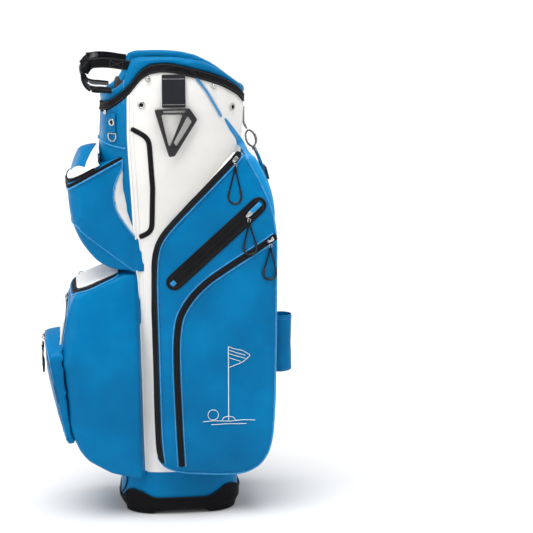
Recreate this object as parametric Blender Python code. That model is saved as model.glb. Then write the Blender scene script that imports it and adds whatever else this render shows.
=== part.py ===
"""Cart golf bag: free-standing bag with a moulded base, a padded club collar, a 14-way divider top,
zipped pockets, towel rings, a lift handle and a shoulder strap.
Frame: metres, +Z up, front of the bag (pocket side) towards -Y, origin on the floor at the middle of the base."""
import bpy
import bmesh
import math
import numpy as np
from mathutils import Vector, Matrix

for ob in list(bpy.data.objects):
    bpy.data.objects.remove(ob, do_unlink=True)

# ---------------------------------------------------------------- driving dimensions (metres)
GAP = 0.0003                 # clearance between touching pieces
HEIGHT = 0.900               # crest of the collar above the floor
BASE_TOP = 0.037             # top edge of the moulded base
SHELL_TOP = 0.700            # where the body fabric meets the collar
WALL = 0.003                 # body fabric with its stiff liner
COLLAR_WALL = 0.0045
BAND_H = 0.016               # black webbing band under the padded rim
BAND_OUT = 0.0015
SIDE_FACE = 0.1245           # outer face of the side pockets
SIDE_FACE_TOP = 0.110        # where that face starts at the collar
UPPER_HALF = 0.0875          # half width of the upper pocket
FRONT_TILT = 0.193           # dy/dz of the front panels
CORD_R = 0.0012
RING_N = 36                  # points round the bag

# height: front y, back y, half width, superellipse exponent
BODY = [
    (0.000, -0.1140, 0.1180, 0.0890, 3.0),
    (0.085, -0.1140, 0.1180, 0.0895, 3.0),
    (0.300, -0.1120, 0.1200, 0.0930, 2.9),
    (0.500, -0.1100, 0.1210, 0.0960, 2.8),
    (0.560, -0.1200, 0.1220, 0.0975, 2.8),
    (0.660, -0.1420, 0.1240, 0.1010, 2.7),
    (0.716, -0.1475, 0.1270, 0.1040, 2.7),
    (0.800, -0.1425, 0.1325, 0.1085, 2.6),
    (0.840, -0.1375, 0.1335, 0.1100, 2.6),
    (0.880, -0.1330, 0.1300, 0.1080, 2.6),
    (0.910, -0.1300, 0.1270, 0.1040, 2.6),
]
# middle of the webbing band, and crest of the padded rim, along the depth of the bag
BAND_LINE = [(-0.1440, 0.8000), (-0.1300, 0.8070), (-0.0940, 0.8360), (-0.0640, 0.8700), (-0.0450, 0.8785),
             (-0.0260, 0.8800), (0.0250, 0.8705), (0.0745, 0.8560), (0.1100, 0.8370), (0.1340, 0.8130)]
CREST_LINE = [(-0.1440, 0.8330), (-0.1250, 0.8400), (-0.1020, 0.8600), (-0.0900, 0.8960), (-0.0780, 0.8995),
              (-0.0135, 0.8990), (0.0446, 0.8915), (0.0756, 0.8795), (0.0966, 0.8665), (0.1129, 0.8545),
              (0.1340, 0.8420)]


# ---------------------------------------------------------------- helpers
def table(rows, t):
    """Values of a table at t, straight between its rows."""
    a = np.array(rows, float)
    return [float(np.interp(t, a[:, 0], a[:, k])) for k in range(1, a.shape[1])]


def smooth_line(rows, t):
    """A table of two columns read as a smooth curve that never overshoots."""
    a = np.array(rows, float)
    x, y = a[:, 0], a[:, 1]
    t = min(max(t, x[0]), x[-1])
    h = np.diff(x)
    d = np.diff(y) / h
    m = np.zeros(len(x))
    m[0], m[-1] = d[0], d[-1]
    for i in range(1, len(x) - 1):
        m[i] = 0.0 if d[i - 1] * d[i] <= 0 else 2 * d[i - 1] * d[i] / (d[i - 1] + d[i])
    i = int(min(max(np.searchsorted(x, t) - 1, 0), len(h) - 1))
    s = (t - x[i]) / h[i]
    return float((1 + 2 * s) * (1 - s) ** 2 * y[i] + s * (1 - s) ** 2 * h[i] * m[i]
                 + s * s * (3 - 2 * s) * y[i + 1] + s * s * (s - 1) * h[i] * m[i + 1])


def spow(v, p):
    return math.copysign(abs(v) ** p, v)


def body_point(ang, z, inset=0.0, n_override=None):
    """A point of the bag's outer surface at a turn angle (0 = +X, 90 deg = +Y) and a height."""
    yf, yb, a, n = table(BODY, z)
    if n_override:
        n = n_override
    b, cy = (yb - yf) / 2, (yb + yf) / 2
    c, s = math.cos(ang), math.sin(ang)
    # unit direction of the superellipse normal, for a true inset
    x, y = a * spow(c, 2 / n), b * spow(s, 2 / n)
    nx = spow(x / a, n - 1) / a
    ny = spow(y / b, n - 1) / b
    q = math.hypot(nx, ny)
    return Vector((x - inset * nx / q, cy + y - inset * ny / q, z))


def ring_angles(n=RING_N):
    """Turn angles that spread the points evenly round the superellipse."""
    dense = [2 * math.pi * k / 2000 for k in range(2001)]
    pts = [body_point(t, 0.5) for t in dense]
    run = [0.0]
    for p, q in zip(pts, pts[1:]):
        run.append(run[-1] + (q - p).length)
    return [float(np.interp(run[-1] * k / n, run, dense)) for k in range(n)]


ANGLES = ring_angles()


def surface_at(x=None, y=None, z=0.8, side=1, offset=0.0):
    """Point and outward normal on the bag's surface, at a given x on the front, or a given y on a side."""
    best = None
    for k in range(3600):
        t = 2 * math.pi * k / 3600
        p = body_point(t, z)
        if x is not None:
            if p.y > 0:
                continue
            e = abs(p.x - x)
        else:
            if p.x * side < 0:
                continue
            e = abs(p.y - y)
        if best is None or e < best[0]:
            best = (e, t)
    t = best[1]
    p = body_point(t, z)
    nrm = (p - body_point(t, z, 0.001)).normalized()
    nrm.z = 0
    nrm.normalize()
    return p + nrm * offset, nrm


def material(name, rgb, rough, metal=0.0):
    m = bpy.data.materials.new(name)
    m.use_nodes = True
    b = m.node_tree.nodes["Principled BSDF"]
    b.inputs["Base Color"].default_value = (*rgb, 1)
    b.inputs["Roughness"].default_value = rough
    b.inputs["Metallic"].default_value = metal
    return m


BLUE = (0.0, 0.165, 0.435)
WHITE = (0.78, 0.76, 0.72)
BLACK = (0.012, 0.012, 0.014)
FLEECE = (0.01, 0.01, 0.011)
SILVER = (0.72, 0.72, 0.70)


def add(name, verts, faces, rgb, rough=0.5, metal=0.0, origin=None, smooth=True, cutter=False, parent=None):
    """A mesh object in world coordinates, with its origin (its joint's axis, if it moves) where asked."""
    me = bpy.data.meshes.new(name)
    o = Vector(origin) if origin is not None else Vector((0, 0, 0))
    me.from_pydata([tuple(Vector(v) - o) for v in verts], [], [tuple(f) for f in faces])
    bm = bmesh.new()
    bm.from_mesh(me)
    bmesh.ops.remove_doubles(bm, verts=bm.verts, dist=1e-6)
    bmesh.ops.recalc_face_normals(bm, faces=bm.faces)
    if bm.calc_volume(signed=True) < 0:
        bmesh.ops.reverse_faces(bm, faces=bm.faces)
    bm.to_mesh(me)
    bm.free()
    ob = bpy.data.objects.new(name, me)
    bpy.context.scene.collection.objects.link(ob)
    ob.location = o
    if cutter:
        ob.hide_render = True
        ob.display_type = "WIRE"
    else:
        me.materials.append(material(name + "_finish", rgb, rough, metal))
        if smooth:
            me.shade_smooth()
            me.set_sharp_from_angle(angle=math.radians(38))
    return ob


def loft(rings, cap=True):
    """Quads between closed rings, with a flat cap at both ends."""
    n = len(rings[0])
    verts = [p for r in rings for p in r]
    faces = []
    for k in range(len(rings) - 1):
        for i in range(n):
            j = (i + 1) % n
            faces.append((k * n + i, k * n + j, (k + 1) * n + j, (k + 1) * n + i))
    if cap:
        faces.append(tuple(range(n))[::-1])
        faces.append(tuple((len(rings) - 1) * n + i for i in range(n)))
    return verts, faces


def wrap(rings):
    """A closed tube of rings whose last ring meets the first, as a tyre does."""
    n, m = len(rings[0]), len(rings)
    verts = [p for r in rings for p in r]
    faces = [(k * n + i, k * n + (i + 1) % n, ((k + 1) % m) * n + (i + 1) % n, ((k + 1) % m) * n + i)
             for k in range(m) for i in range(n)]
    return verts, faces


def prism_x(outline, x0, x1):
    """An outline of (y, z) points carried along X."""
    return loft([[Vector((x0, y, z)) for y, z in outline], [Vector((x1, y, z)) for y, z in outline]])


def box(lo, hi):
    (x0, y0, z0), (x1, y1, z1) = lo, hi
    return loft([[Vector((x0, y0, z)), Vector((x1, y0, z)), Vector((x1, y1, z)), Vector((x0, y1, z))] for z in (z0, z1)])


def place(shape, frame):
    return [frame @ Vector(v) for v in shape[0]], shape[1]


def frame_from(origin, x_axis, y_axis):
    """A placing matrix whose local X and Y run along the given directions."""
    x = Vector(x_axis).normalized()
    z = x.cross(Vector(y_axis)).normalized()
    y = z.cross(x)
    m = Matrix((x, y, z)).transposed().to_4x4()
    m.translation = Vector(origin)
    return m


def closed_curve(points, n):
    """A smooth closed curve through the points, read at n even steps."""
    p = [np.array(q, float) for q in points]
    m = len(p)
    dense = []
    for i in range(m):
        a, b, c, d = p[i - 1], p[i], p[(i + 1) % m], p[(i + 2) % m]
        for k in range(16):
            t = k / 16
            dense.append(0.5 * ((2 * b) + (c - a) * t + (2 * a - 5 * b + 4 * c - d) * t * t
                                + (3 * b - a - 3 * c + d) * t ** 3))
    dense.append(dense[0])
    run = np.concatenate([[0], np.cumsum([np.linalg.norm(v - u) for u, v in zip(dense, dense[1:])])])
    arr = np.array(dense)
    out = []
    for k in range(n):
        s = run[-1] * k / n
        out.append(tuple(float(np.interp(s, run, arr[:, j])) for j in range(arr.shape[1])))
    return out


def open_curve(points, n):
    """A smooth curve through the points, read at n even steps, ends included."""
    p = [np.array(q, float) for q in points]
    p = [2 * p[0] - p[1]] + p + [2 * p[-1] - p[-2]]
    dense = []
    for i in range(1, len(p) - 2):
        a, b, c, d = p[i - 1], p[i], p[i + 1], p[i + 2]
        for k in range(16):
            t = k / 16
            dense.append(0.5 * ((2 * b) + (c - a) * t + (2 * a - 5 * b + 4 * c - d) * t * t
                                + (3 * b - a - 3 * c + d) * t ** 3))
    dense.append(p[-2])
    run = np.concatenate([[0], np.cumsum([np.linalg.norm(v - u) for u, v in zip(dense, dense[1:])])])
    arr = np.array(dense)
    return [tuple(float(np.interp(run[-1] * k / (n - 1), run, arr[:, j])) for j in range(arr.shape[1]))
            for k in range(n)]


def band_sweep(path, widths, width_dirs, thick):
    """A flat strap swept along a path: at each point a rectangle of the given width and thickness."""
    rings = []
    for i, p in enumerate(path):
        p = Vector(p)
        t = (Vector(path[min(i + 1, len(path) - 1)]) - Vector(path[max(i - 1, 0)])).normalized()
        w = Vector(width_dirs[i])
        w = (w - t * w.dot(t)).normalized()
        u = t.cross(w).normalized()
        hw, ht = widths[i] / 2, thick / 2
        rings.append([p + w * hw + u * ht, p - w * hw + u * ht, p - w * hw - u * ht, p + w * hw - u * ht])
    return loft(rings)


def tube_loop(points, radius, sides=6):
    """A round cord or wire along a closed path."""
    n = len(points)
    rings = []
    prev = None
    for i in range(n):
        p = Vector(points[i])
        t = (Vector(points[(i + 1) % n]) - Vector(points[i - 1])).normalized()
        if prev is None:
            ref = Vector((1, 0, 0)) if abs(t.x) < 0.8 else Vector((0, 1, 0))
            u = t.cross(ref).normalized()
        else:
            u = (prev - t * prev.dot(t)).normalized()
        prev = u
        v = t.cross(u)
        rings.append([p + (u * math.cos(2 * math.pi * k / sides) + v * math.sin(2 * math.pi * k / sides)) * radius
                      for k in range(sides)])
    return wrap(rings)


def cut(ob, cutter, op="DIFFERENCE"):
    m = ob.modifiers.new("cut_" + cutter.name, "BOOLEAN")
    m.object = cutter
    m.operation = op
    m.solver = "EXACT"
    return m


def rounded(points, radius, steps=3):
    """A polygon with its corners rounded."""
    out = []
    n = len(points)
    for i in range(n):
        p0, p1, p2 = (np.array(points[i - 1], float), np.array(points[i], float), np.array(points[(i + 1) % n], float))
        d0, d2 = p0 - p1, p2 - p1
        l0, l2 = np.linalg.norm(d0), np.linalg.norm(d2)
        d0, d2 = d0 / l0, d2 / l2
        ang = math.acos(max(-1, min(1, float(d0 @ d2))))
        cutlen = min(radius / math.tan(ang / 2), 0.45 * l0, 0.45 * l2)
        a, b = p1 + d0 * cutlen, p1 + d2 * cutlen
        for k in range(steps + 1):
            t = k / steps
            out.append(tuple((1 - t) ** 2 * a + 2 * t * (1 - t) * p1 + t * t * b))
    return out


# ---------------------------------------------------------------- body, base and collar
def body_ring(z, inset=0.0, angles=ANGLES):
    return [body_point(t, z, inset) for t in angles]


def shell_between(heights, wall):
    """A ring wall: up the outside, down the inside."""
    return wrap([body_ring(z) for z in heights] + [body_ring(z, wall) for z in reversed(heights)])


SHELL_Z = [BASE_TOP + GAP, 0.085, 0.30, 0.50, 0.60, 0.66, SHELL_TOP]
add("body_shell", *shell_between(SHELL_Z, WALL), BLUE, 0.45)

# cutter that leaves a small clearance round the bag's outer surface
clear_z = [BASE_TOP - 0.03, 0.085, 0.30, 0.50, 0.60, 0.66, 0.716, 0.76, 0.80]
body_cutter = add("cutter_body", *loft([body_ring(z, -0.0005) for z in clear_z]), BLUE, cutter=True)

# moulded base: a tray with four corner feet and a middle boss, and a spigot inside the body fabric
base_rings = [
    [body_point(t, 0.02, 0.004).xyz * 1.0 for t in ANGLES],
]
ring_a = [Vector((p.x, p.y, 0.006)) for p in body_ring(0.02, 0.006)]
ring_b = [Vector((p.x, p.y, 0.012)) for p in body_ring(0.02, 0.000)]
ring_c = [Vector((p.x, p.y, 0.022)) for p in body_ring(0.02, -0.0030)]
ring_d = [Vector((p.x, p.y, BASE_TOP)) for p in body_ring(0.02, -0.0030)]
ring_e = [Vector((p.x, p.y, BASE_TOP)) for p in body_ring(0.02, WALL + GAP)]
ring_f = [Vector((p.x, p.y, 0.052)) for p in body_ring(0.05, WALL + 0.0006)]
base = add("base", *loft([ring_a, ring_b, ring_c, ring_d, ring_e, ring_f]), BLACK, 0.55)
FEET = [(sx * 0.060, sy * 0.082 + 0.002) for sx in (-1, 1) for sy in (-1, 1)]
for k, (fx, fy) in enumerate(FEET + [(0.0, 0.0)]):
    r = 0.020 if k < 4 else 0.030
    rings = [[Vector((fx + q * math.cos(2 * math.pi * i / 16), fy + q * math.sin(2 * math.pi * i / 16), z))
              for i in range(16)] for q, z in ((r * 0.9, 0.0), (r, 0.003), (r, 0.010))]
    foot = add("cutter_foot_%d" % k, *loft(rings), BLACK, cutter=True)
    cut(base, foot, "UNION")

pad_z = (0.0523, 0.058)
add("bottom_pad", *loft([[Vector((p.x, p.y, z)) for p in body_ring(0.06, WALL + 0.001)] for z in pad_z]), FLEECE, 0.95)


def band_mid(y):
    return smooth_line(BAND_LINE, y)


def crest(y):
    return smooth_line(CREST_LINE, y)


def collar_column(t, z_from_y, inset=0.0):
    """A point on the collar surface whose height follows the depth there."""
    z = 0.83
    for _ in range(12):
        p = body_point(t, z)
        z = 0.5 * z + 0.5 * z_from_y(p.y)
    return body_point(t, z, inset)


def collar_ring(z_from_y, inset=0.0):
    return [collar_column(t, z_from_y, inset) for t in ANGLES]


lo_edge = lambda y: band_mid(y) - BAND_H / 2 - 0.0012
collar_rings = [body_ring(SHELL_TOP + GAP), body_ring(0.735), body_ring(0.77), collar_ring(lo_edge)]
collar_in = [body_ring(SHELL_TOP + GAP, COLLAR_WALL), body_ring(0.735, COLLAR_WALL), body_ring(0.77, COLLAR_WALL),
             collar_ring(lo_edge, COLLAR_WALL)]
add("collar_shell", *wrap(collar_rings + collar_in[::-1]), WHITE, 0.45)

b0 = lambda y: band_mid(y) - BAND_H / 2
b1 = lambda y: band_mid(y) + BAND_H / 2
add("collar_band", *wrap([collar_ring(b0, -BAND_OUT), collar_ring(b1, -BAND_OUT),
                          collar_ring(b1, COLLAR_WALL), collar_ring(b0, COLLAR_WALL)]), BLACK, 0.8)

RIM_PROFILE = [(-0.0010, 0.0), (-0.0015, 0.35), (0.0020, 0.72), (0.0075, 0.94), (0.0130, 1.0), (0.0185, 0.92),
               (0.0210, 0.55), (0.0205, -0.20), (0.0060, 0.0)]


def rim_ring(inset, part):
    out = []
    for t in ANGLES:
        foot_p = collar_column(t, lambda y: b1(y) + 0.0012)
        top = crest(foot_p.y)
        h = top - foot_p.z
        z = foot_p.z + (part * h if part >= 0 else part * 0.02)
        ref = collar_column(t, lambda y: b1(y) + 0.0012, inset)
        out.append(Vector((ref.x, ref.y, z)))
    return out


add("collar_rim", *wrap([rim_ring(d, p) for d, p in RIM_PROFILE]), BLUE, 0.42)

# ---------------------------------------------------------------- 14-way divider top, sheets and stays
DIV_BOTTOM = 0.772


def divider_top_z(x, y):
    """The fleece-covered top is high along the middle and falls to both sides, and follows the sloping rim."""
    ridge = 0.857 - max(0.0, abs(x) - 0.034) * 0.72
    return ridge - 0.10 * max(0.0, y - 0.02) - 0.18 * max(0.0, -0.02 - y)


div_in = 0.0235
top_ring = []
for t in ANGLES:
    p = body_point(t, 0.82, div_in)
    top_ring.append(Vector((p.x, p.y, divider_top_z(p.x, p.y))))
bot_ring = [Vector((p.x, p.y, DIV_BOTTOM)) for p in body_ring(0.82, div_in)]
# the crowned top is a grid of points inside the ring, so that it stays close to its formula
bm = bmesh.new()
lo = [bm.verts.new(v) for v in bot_ring]
hi = [bm.verts.new(v) for v in top_ring]
n = len(lo)
for i in range(n):
    bm.faces.new((lo[i], lo[(i + 1) % n], hi[(i + 1) % n], hi[i]))
bm.faces.new(lo[::-1])
inner = hi
cy = 0.0
for s in (0.80, 0.60, 0.40, 0.20):
    nxt = []
    for v in top_ring:
        x, y = v.x * s, cy + (v.y - cy) * s
        nxt.append(bm.verts.new((x, y, divider_top_z(x, y))))
    for i in range(n):
        bm.faces.new((inner[i], inner[(i + 1) % n], nxt[(i + 1) % n], nxt[i]))
    inner = nxt
mid = bm.verts.new((0, cy, divider_top_z(0, cy)))
for i in range(n):
    bm.faces.new((inner[i], inner[(i + 1) % n], mid))
bm.verts.index_update()
dv = [v.co.copy() for v in bm.verts]
df = [[v.index for v in f.verts] for f in bm.faces]
bm.free()
divider = add("divider_top", dv, df, FLEECE, 0.95)
BAR = 0.0075                 # width of the bars between the wells
ROWS = [(-0.105, -0.0585, 3, 0.050), (-0.051, -0.0035, 4, 0.078), (0.004, 0.0515, 4, 0.078), (0.059, 0.0975, 3, 0.056)]
WELLS = []
for y0, y1, count, half in ROWS:
    w = (2 * half - (count - 1) * BAR) / count
    for k in range(count):
        x0 = -half + k * (w + BAR)
        WELLS.append((x0, x0 + w, y0, y1))
for k, (x0, x1, y0, y1) in enumerate(WELLS):
    outline = rounded([(x0, y0), (x1, y0), (x1, y1), (x0, y1)], 0.004, 1)
    c = add("cutter_well_%02d" % k, *loft([[Vector((x, y, z)) for x, y in outline] for z in (0.75, 0.90)]), FLEECE, cutter=True)
    cut(divider, c)

for name, y in (("divider_sheet_front", -0.0548), ("divider_sheet_rear", 0.0552)):
    add(name, *box((-0.0700, y - 0.0007, 0.0590), (0.0700, y + 0.0007, DIV_BOTTOM - 0.0006)), BLACK, 0.8)

for name, sx in (("stay_left", -1), ("stay_right", 1)):
    # a light alloy rod inside each side of the body, from the base to the collar
    r = 0.004
    path = [(sx * 0.0815, 0.004, 0.0590), (sx * 0.0850, 0.004, 0.30), (sx * 0.0900, 0.0, 0.60), (sx * 0.0935, -0.002, 0.755)]
    rings = [[Vector((px + r * math.cos(2 * math.pi * i / 10), py + r * math.sin(2 * math.pi * i / 10), pz))
              for i in range(10)] for px, py, pz in path]
    add(name, *loft(rings), SILVER, 0.35, 1.0)

# ---------------------------------------------------------------- lift handle
HANDLE_T = 0.0045


def handle_arch():
    right = [(0.0000, -0.1500, 0.8920), (0.0400, -0.1505, 0.8915), (0.0640, -0.1540, 0.8900), (0.0820, -0.1640, 0.8840),
             (0.0905, -0.1740, 0.8700), (0.0915, -0.1755, 0.8560), (0.0880, -0.1680, 0.8440), (0.0830, -0.1540, 0.8390),
             (0.0800, -0.1440, 0.8385)]
    pts = [(-x, y, z) for x, y, z in reversed(right[1:])] + right
    return open_curve(pts, 33)


arch = handle_arch()
wd, ww = [], []
for p in arch:
    s = min(1.0, max(0.0, (abs(p[0]) - 0.05) / 0.035))
    low = min(1.0, max(0.0, (0.872 - p[2]) / 0.022))
    side = 1 if p[0] > 0 else -1
    up = Vector((0.0, 0.25, 0.97)).lerp(Vector((0.55 * side, -0.45, 0.25)), s)
    wd.append(up.lerp(Vector((0.80 * side, 0.0, -0.35)), low) if low > 0 else up)
    ww.append(0.0165 + 0.004 * s)
lift_handle = add("lift_handle", *band_sweep(arch, ww, wd, HANDLE_T), BLACK, 0.45)
for sx in (-1, 1):
    # the band also runs back to the tall side of the padded rim
    pth = open_curve([(sx * 0.0800, -0.1660, 0.8870), (sx * 0.0860, -0.1420, 0.8890), (sx * 0.0855, -0.1200, 0.8875),
                      (sx * 0.0840, -0.1085, 0.8850)], 8)
    arm = add("cutter_handle_arm_%s" % ("l" if sx < 0 else "r"),
              *band_sweep(pth, [0.0195] * 8, [(0.10 * sx, 0, 1)] * 8, HANDLE_T), BLACK, cutter=True)
    cut(lift_handle, arm, "UNION")


# ---------------------------------------------------------------- side pockets
def side_face(z):
    """Half width of the bag at the outer face of a side pocket."""
    return table([(0.07, 0.1080), (0.115, 0.1200), (0.17, SIDE_FACE), (0.615, SIDE_FACE), (0.725, SIDE_FACE_TOP)], z)[0]


SIDE_OUTLINE = [(0.1080, 0.7200), (0.0550, 0.6640), (-0.0130, 0.5920), (-0.0420, 0.5560), (-0.0520, 0.5200),
                (-0.0545, 0.4200), (-0.0520, 0.2600), (-0.0500, 0.1450), (-0.0380, 0.1080), (-0.0050, 0.0930),
                (0.0350, 0.0880), (0.0900, 0.0850), (0.1250, 0.0870), (0.1560, 0.1060), (0.1740, 0.1460),
                (0.1815, 0.2200), (0.1835, 0.3300), (0.1850, 0.4800), (0.1850, 0.5500), (0.1785, 0.6020),
                (0.1580, 0.6560), (0.1300, 0.7080), (0.1190, 0.7210)]
side_curve = closed_curve(SIDE_OUTLINE, 56)
centre_y, centre_z = 0.065, 0.36
for name, sx in (("side_pocket_left", -1), ("side_pocket_right", 1)):
    def shrink(d):
        """The outline drawn in by d all round."""
        out = []
        m = len(side_curve)
        for i, (y, z) in enumerate(side_curve):
            y0, z0 = side_curve[i - 1]
            y1, z1 = side_curve[(i + 1) % m]
            ty, tz = y1 - y0, z1 - z0
            q = math.hypot(ty, tz)
            ny, nz = tz / q, -ty / q
            if (centre_y - y) * ny + (centre_z - z) * nz < 0:
                ny, nz = -ny, -nz
            out.append((y + ny * d, z + nz * d))
        return out

    rings = [[Vector((sx * 0.0460, y, z)) for y, z in side_curve],
             [Vector((sx * (side_face(z) - 0.0060), y, z)) for y, z in side_curve],
             [Vector((sx * (side_face(z) - 0.0017), y, z)) for y, z in shrink(0.0017)],
             [Vector((sx * side_face(z), y, z)) for y, z in shrink(0.0055)]]
    verts = [p for r in rings for p in r]
    m = len(side_curve)
    faces = [(k * m + i, k * m + (i + 1) % m, (k + 1) * m + (i + 1) % m, (k + 1) * m + i)
             for k in range(3) for i in range(m)]
    faces.append(tuple(range(m)))
    # the outer face bends only at fixed heights, so it is filled in level strips
    bmf = bmesh.new()
    vv = [bmf.verts.new(v) for v in verts]
    for f in faces:
        bmf.faces.new([vv[i] for i in f])
    outer = bmf.faces.new([vv[3 * m + i] for i in range(m)])
    bmesh.ops.triangulate(bmf, faces=[outer])
    for zc in (0.115, 0.17, 0.615):
        geom = list(bmf.verts) + list(bmf.edges) + list(bmf.faces)
        bmesh.ops.bisect_plane(bmf, geom=geom, plane_co=(0, 0, zc), plane_no=(0, 0, 1), dist=1e-7)
    for v in bmf.verts:
        if abs(v.co.x) > 0.10 and abs(abs(v.co.x) - side_face(v.co.z)) < 0.02:
            on_face = any(abs(f.normal.x) > 0.9 for f in v.link_faces)
            near = min(math.hypot(v.co.y - y, v.co.z - z) for y, z in side_curve)
            if near > 0.0045 and on_face:
                v.co.x = sx * side_face(v.co.z)
    bmf.verts.index_update()
    pv = [v.co.copy() for v in bmf.verts]
    pf = [[v.index for v in f.verts] for f in bmf.faces]
    bmf.free()
    pocket = add(name, pv, pf, WHITE, 0.45)
    cut(pocket, body_cutter)

# spine panel between the side pockets, carrying the umbrella sleeve
SPINE = [(0.105, 0.1000), (0.150, 0.1060), (0.168, 0.1460), (0.1755, 0.2200), (0.1775, 0.4800), (0.1775, 0.5450),
         (0.1700, 0.6000), (0.1500, 0.6500), (0.1330, 0.6850), (0.105, 0.6850)]
spine = add("spine_panel", *prism_x(SPINE, -0.0455, 0.0455), BLUE, 0.45)
cut(spine, body_cutter)


# ---------------------------------------------------------------- upper pocket and its lid
def upper_plane(y):
    """Height of the upper pocket's zip at its sides."""
    return 0.7285 + (y + 0.0928) * (0.7285 - 0.6654) / (0.2101 - 0.0928)


def crown(x, y):
    c = smooth_line([(-0.2200, 0.0), (-0.2090, 0.010), (-0.1960, 0.034), (-0.1850, 0.038), (-0.1490, 0.030), (-0.09, 0.022)], y)
    return c * max(0.0, 1 - (abs(x) / UPPER_HALF) ** 2.2)


UP_LOW = [(-0.2105, 0.6600), (-0.2050, 0.6280), (-0.2005, 0.5840), (-0.1850, 0.5480), (-0.1600, 0.5130),
          (-0.1370, 0.4985), (-0.1000, 0.4905), (-0.0700, 0.4885)]
LID_T = 0.0040
top_y = [-0.070, -0.100, -0.125, -0.150, -0.170, -0.186, -0.198, -0.2085]
rings = []
xs = [-1, -0.93, -0.8, -0.6, -0.35, 0, 0.35, 0.6, 0.8, 0.93, 1]
for f in xs:
    x = f * UPPER_HALF
    squeeze = 0.004 * abs(f) ** 8
    low = open_curve(UP_LOW, 12)
    pts = [Vector((x, y + squeeze, z)) for y, z in low]
    pts += [Vector((x, y, upper_plane(y) - 0.0066 + max(0.0, crown(x, y)))) for y in top_y]
    rings.append(pts)
upper = add("upper_pocket", *loft(rings), BLUE, 0.45)
cut(upper, body_cutter)
cav = [(-0.1990, 0.760), (-0.1990, 0.6300), (-0.1940, 0.5870), (-0.1800, 0.5560), (-0.1560, 0.5300), (-0.1500, 0.5300), (-0.1535, 0.760)]
cut(upper, add("cutter_upper_room", *prism_x(cav, -0.0720, 0.0720), BLACK, cutter=True))

LID_HINGE = (0.0, -0.1520, 0.7245)


def lid_outline(n=28):
    """Front half: a wide round nose; back edge: follows the collar with a small gap."""
    pts = []
    for k in range(n // 2 + 1):
        a = math.pi + math.pi * k / (n // 2)
        pts.append((0.0850 * spow(math.cos(a), 2 / 3.0), -0.1500 - 0.0575 * abs(math.sin(a)) ** (2 / 3.2)))
    back = []
    m = n // 2 - 1
    for k in range(1, m + 1):
        x = 0.0850 - 0.1700 * k / (m + 1)
        back.append((x, -0.1500 - 0.0012))
    return pts + back


lo_out = lid_outline()
bm = bmesh.new()
layers = []
for up in (True, False):
    prev = None
    ringset = []
    for s in (1.0, 0.86, 0.64, 0.36):
        row = []
        for x, y in lo_out:
            X, Y = x * s, -0.178 + (y + 0.178) * s
            z = upper_plane(Y) + max(0.0, crown(X, Y))
            z += (LID_T - 0.0045 if up else -0.0045) + (0.0004 if not up else 0.0)
            row.append(bm.verts.new((X, Y, z)))
        ringset.append(row)
    c = bm.verts.new((0, -0.178, upper_plane(-0.178) + crown(0, -0.178) + (LID_T - 0.0045 if up else -0.0041)))
    layers.append((ringset, c))
for ringset, c in layers:
    for r0, r1 in zip(ringset, ringset[1:]):
        for i in range(len(r0)):
            j = (i + 1) % len(r0)
            bm.faces.new((r0[i], r0[j], r1[j], r1[i]))
    r1 = ringset[-1]
    for i in range(len(r1)):
        bm.faces.new((r1[i], r1[(i + 1) % len(r1)], c))
a, b = layers[0][0][0], layers[1][0][0]
for i in range(len(a)):
    j = (i + 1) % len(a)
    bm.faces.new((a[i], a[j], b[j], b[i]))
bm.verts.index_update()
lv = [v.co.copy() for v in bm.verts]
lf = [[v.index for v in f.verts] for f in bm.faces]
bm.free()
add("upper_pocket_lid", lv, lf, WHITE, 0.45, origin=LID_HINGE)

# ---------------------------------------------------------------- lower pocket, its flaps and the ball pocket
LOWER = [(0.0780, -0.0850, 0.1000), (0.0920, -0.1400, 0.1060), (0.1180, -0.1820, 0.1090), (0.1380, -0.1980, 0.1105),
         (0.1800, -0.2150, 0.1110), (0.3180, -0.2290, 0.1100), (0.3700, -0.2212, 0.1030), (0.4200, -0.2130, 0.0940),
         (0.4400, -0.2060, 0.0910), (0.4480, -0.1990, 0.0890), (0.4610, -0.1677, 0.0885), (0.4750, -0.1341, 0.0880),
         (0.4850, -0.1100, 0.0875)]


def lower_ring(z, yf, w):
    """A level section: straight front with round corners, running back into the body."""
    yb = -0.055
    half = [(0.0, yf), (w * 0.5, yf), (w * 0.80, yf + 0.0010)]
    r = min(0.016, (yb - yf) * 0.45)
    cx, cyy = w - r, yf + r + 0.0005
    for k in range(4):
        t = math.radians(-70 + 70 * k / 3)
        half.append((cx + r * math.cos(t), cyy + r * math.sin(t)))
    half += [(w, yb)]
    pts = half + [(-x, y) for x, y in reversed(half[1:])]
    return [Vector((x, y, z)) for x, y in pts]


lower = add("lower_pocket", *loft([lower_ring(*row) for row in LOWER]), BLUE, 0.45)
cut(lower, body_cutter)
# the front edge of the side pockets and their strip stays clear
strip = add("cutter_strip_r", *box((0.0965, -0.0790, 0.05), (0.20, 0.10, 0.52)), WHITE, cutter=True)
strip2 = add("cutter_strip_l", *box((-0.20, -0.0790, 0.05), (-0.0965, 0.10, 0.52)), WHITE, cutter=True)
cut(lower, strip)
cut(lower, strip2)
room = [(-0.1850, 0.4800), (-0.1850, 0.3600), (-0.1350, 0.3600), (-0.1350, 0.5000)]
cut(lower, add("cutter_lower_room", *prism_x(room, -0.0600, 0.0600), BLACK, cutter=True))


def slope_frame(p0, p1, lift):
    """Local X across the bag, local Y down the slope from p0 to p1, local Z out of the slope."""
    d = Vector((0, p1[0] - p0[0], p1[1] - p0[1])).normalized()
    m = frame_from((0, p0[0], p0[1]), (-1, 0, 0), d)
    m.translation = m.translation + m.to_3x3() @ Vector((0, 0, lift))
    return m


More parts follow.
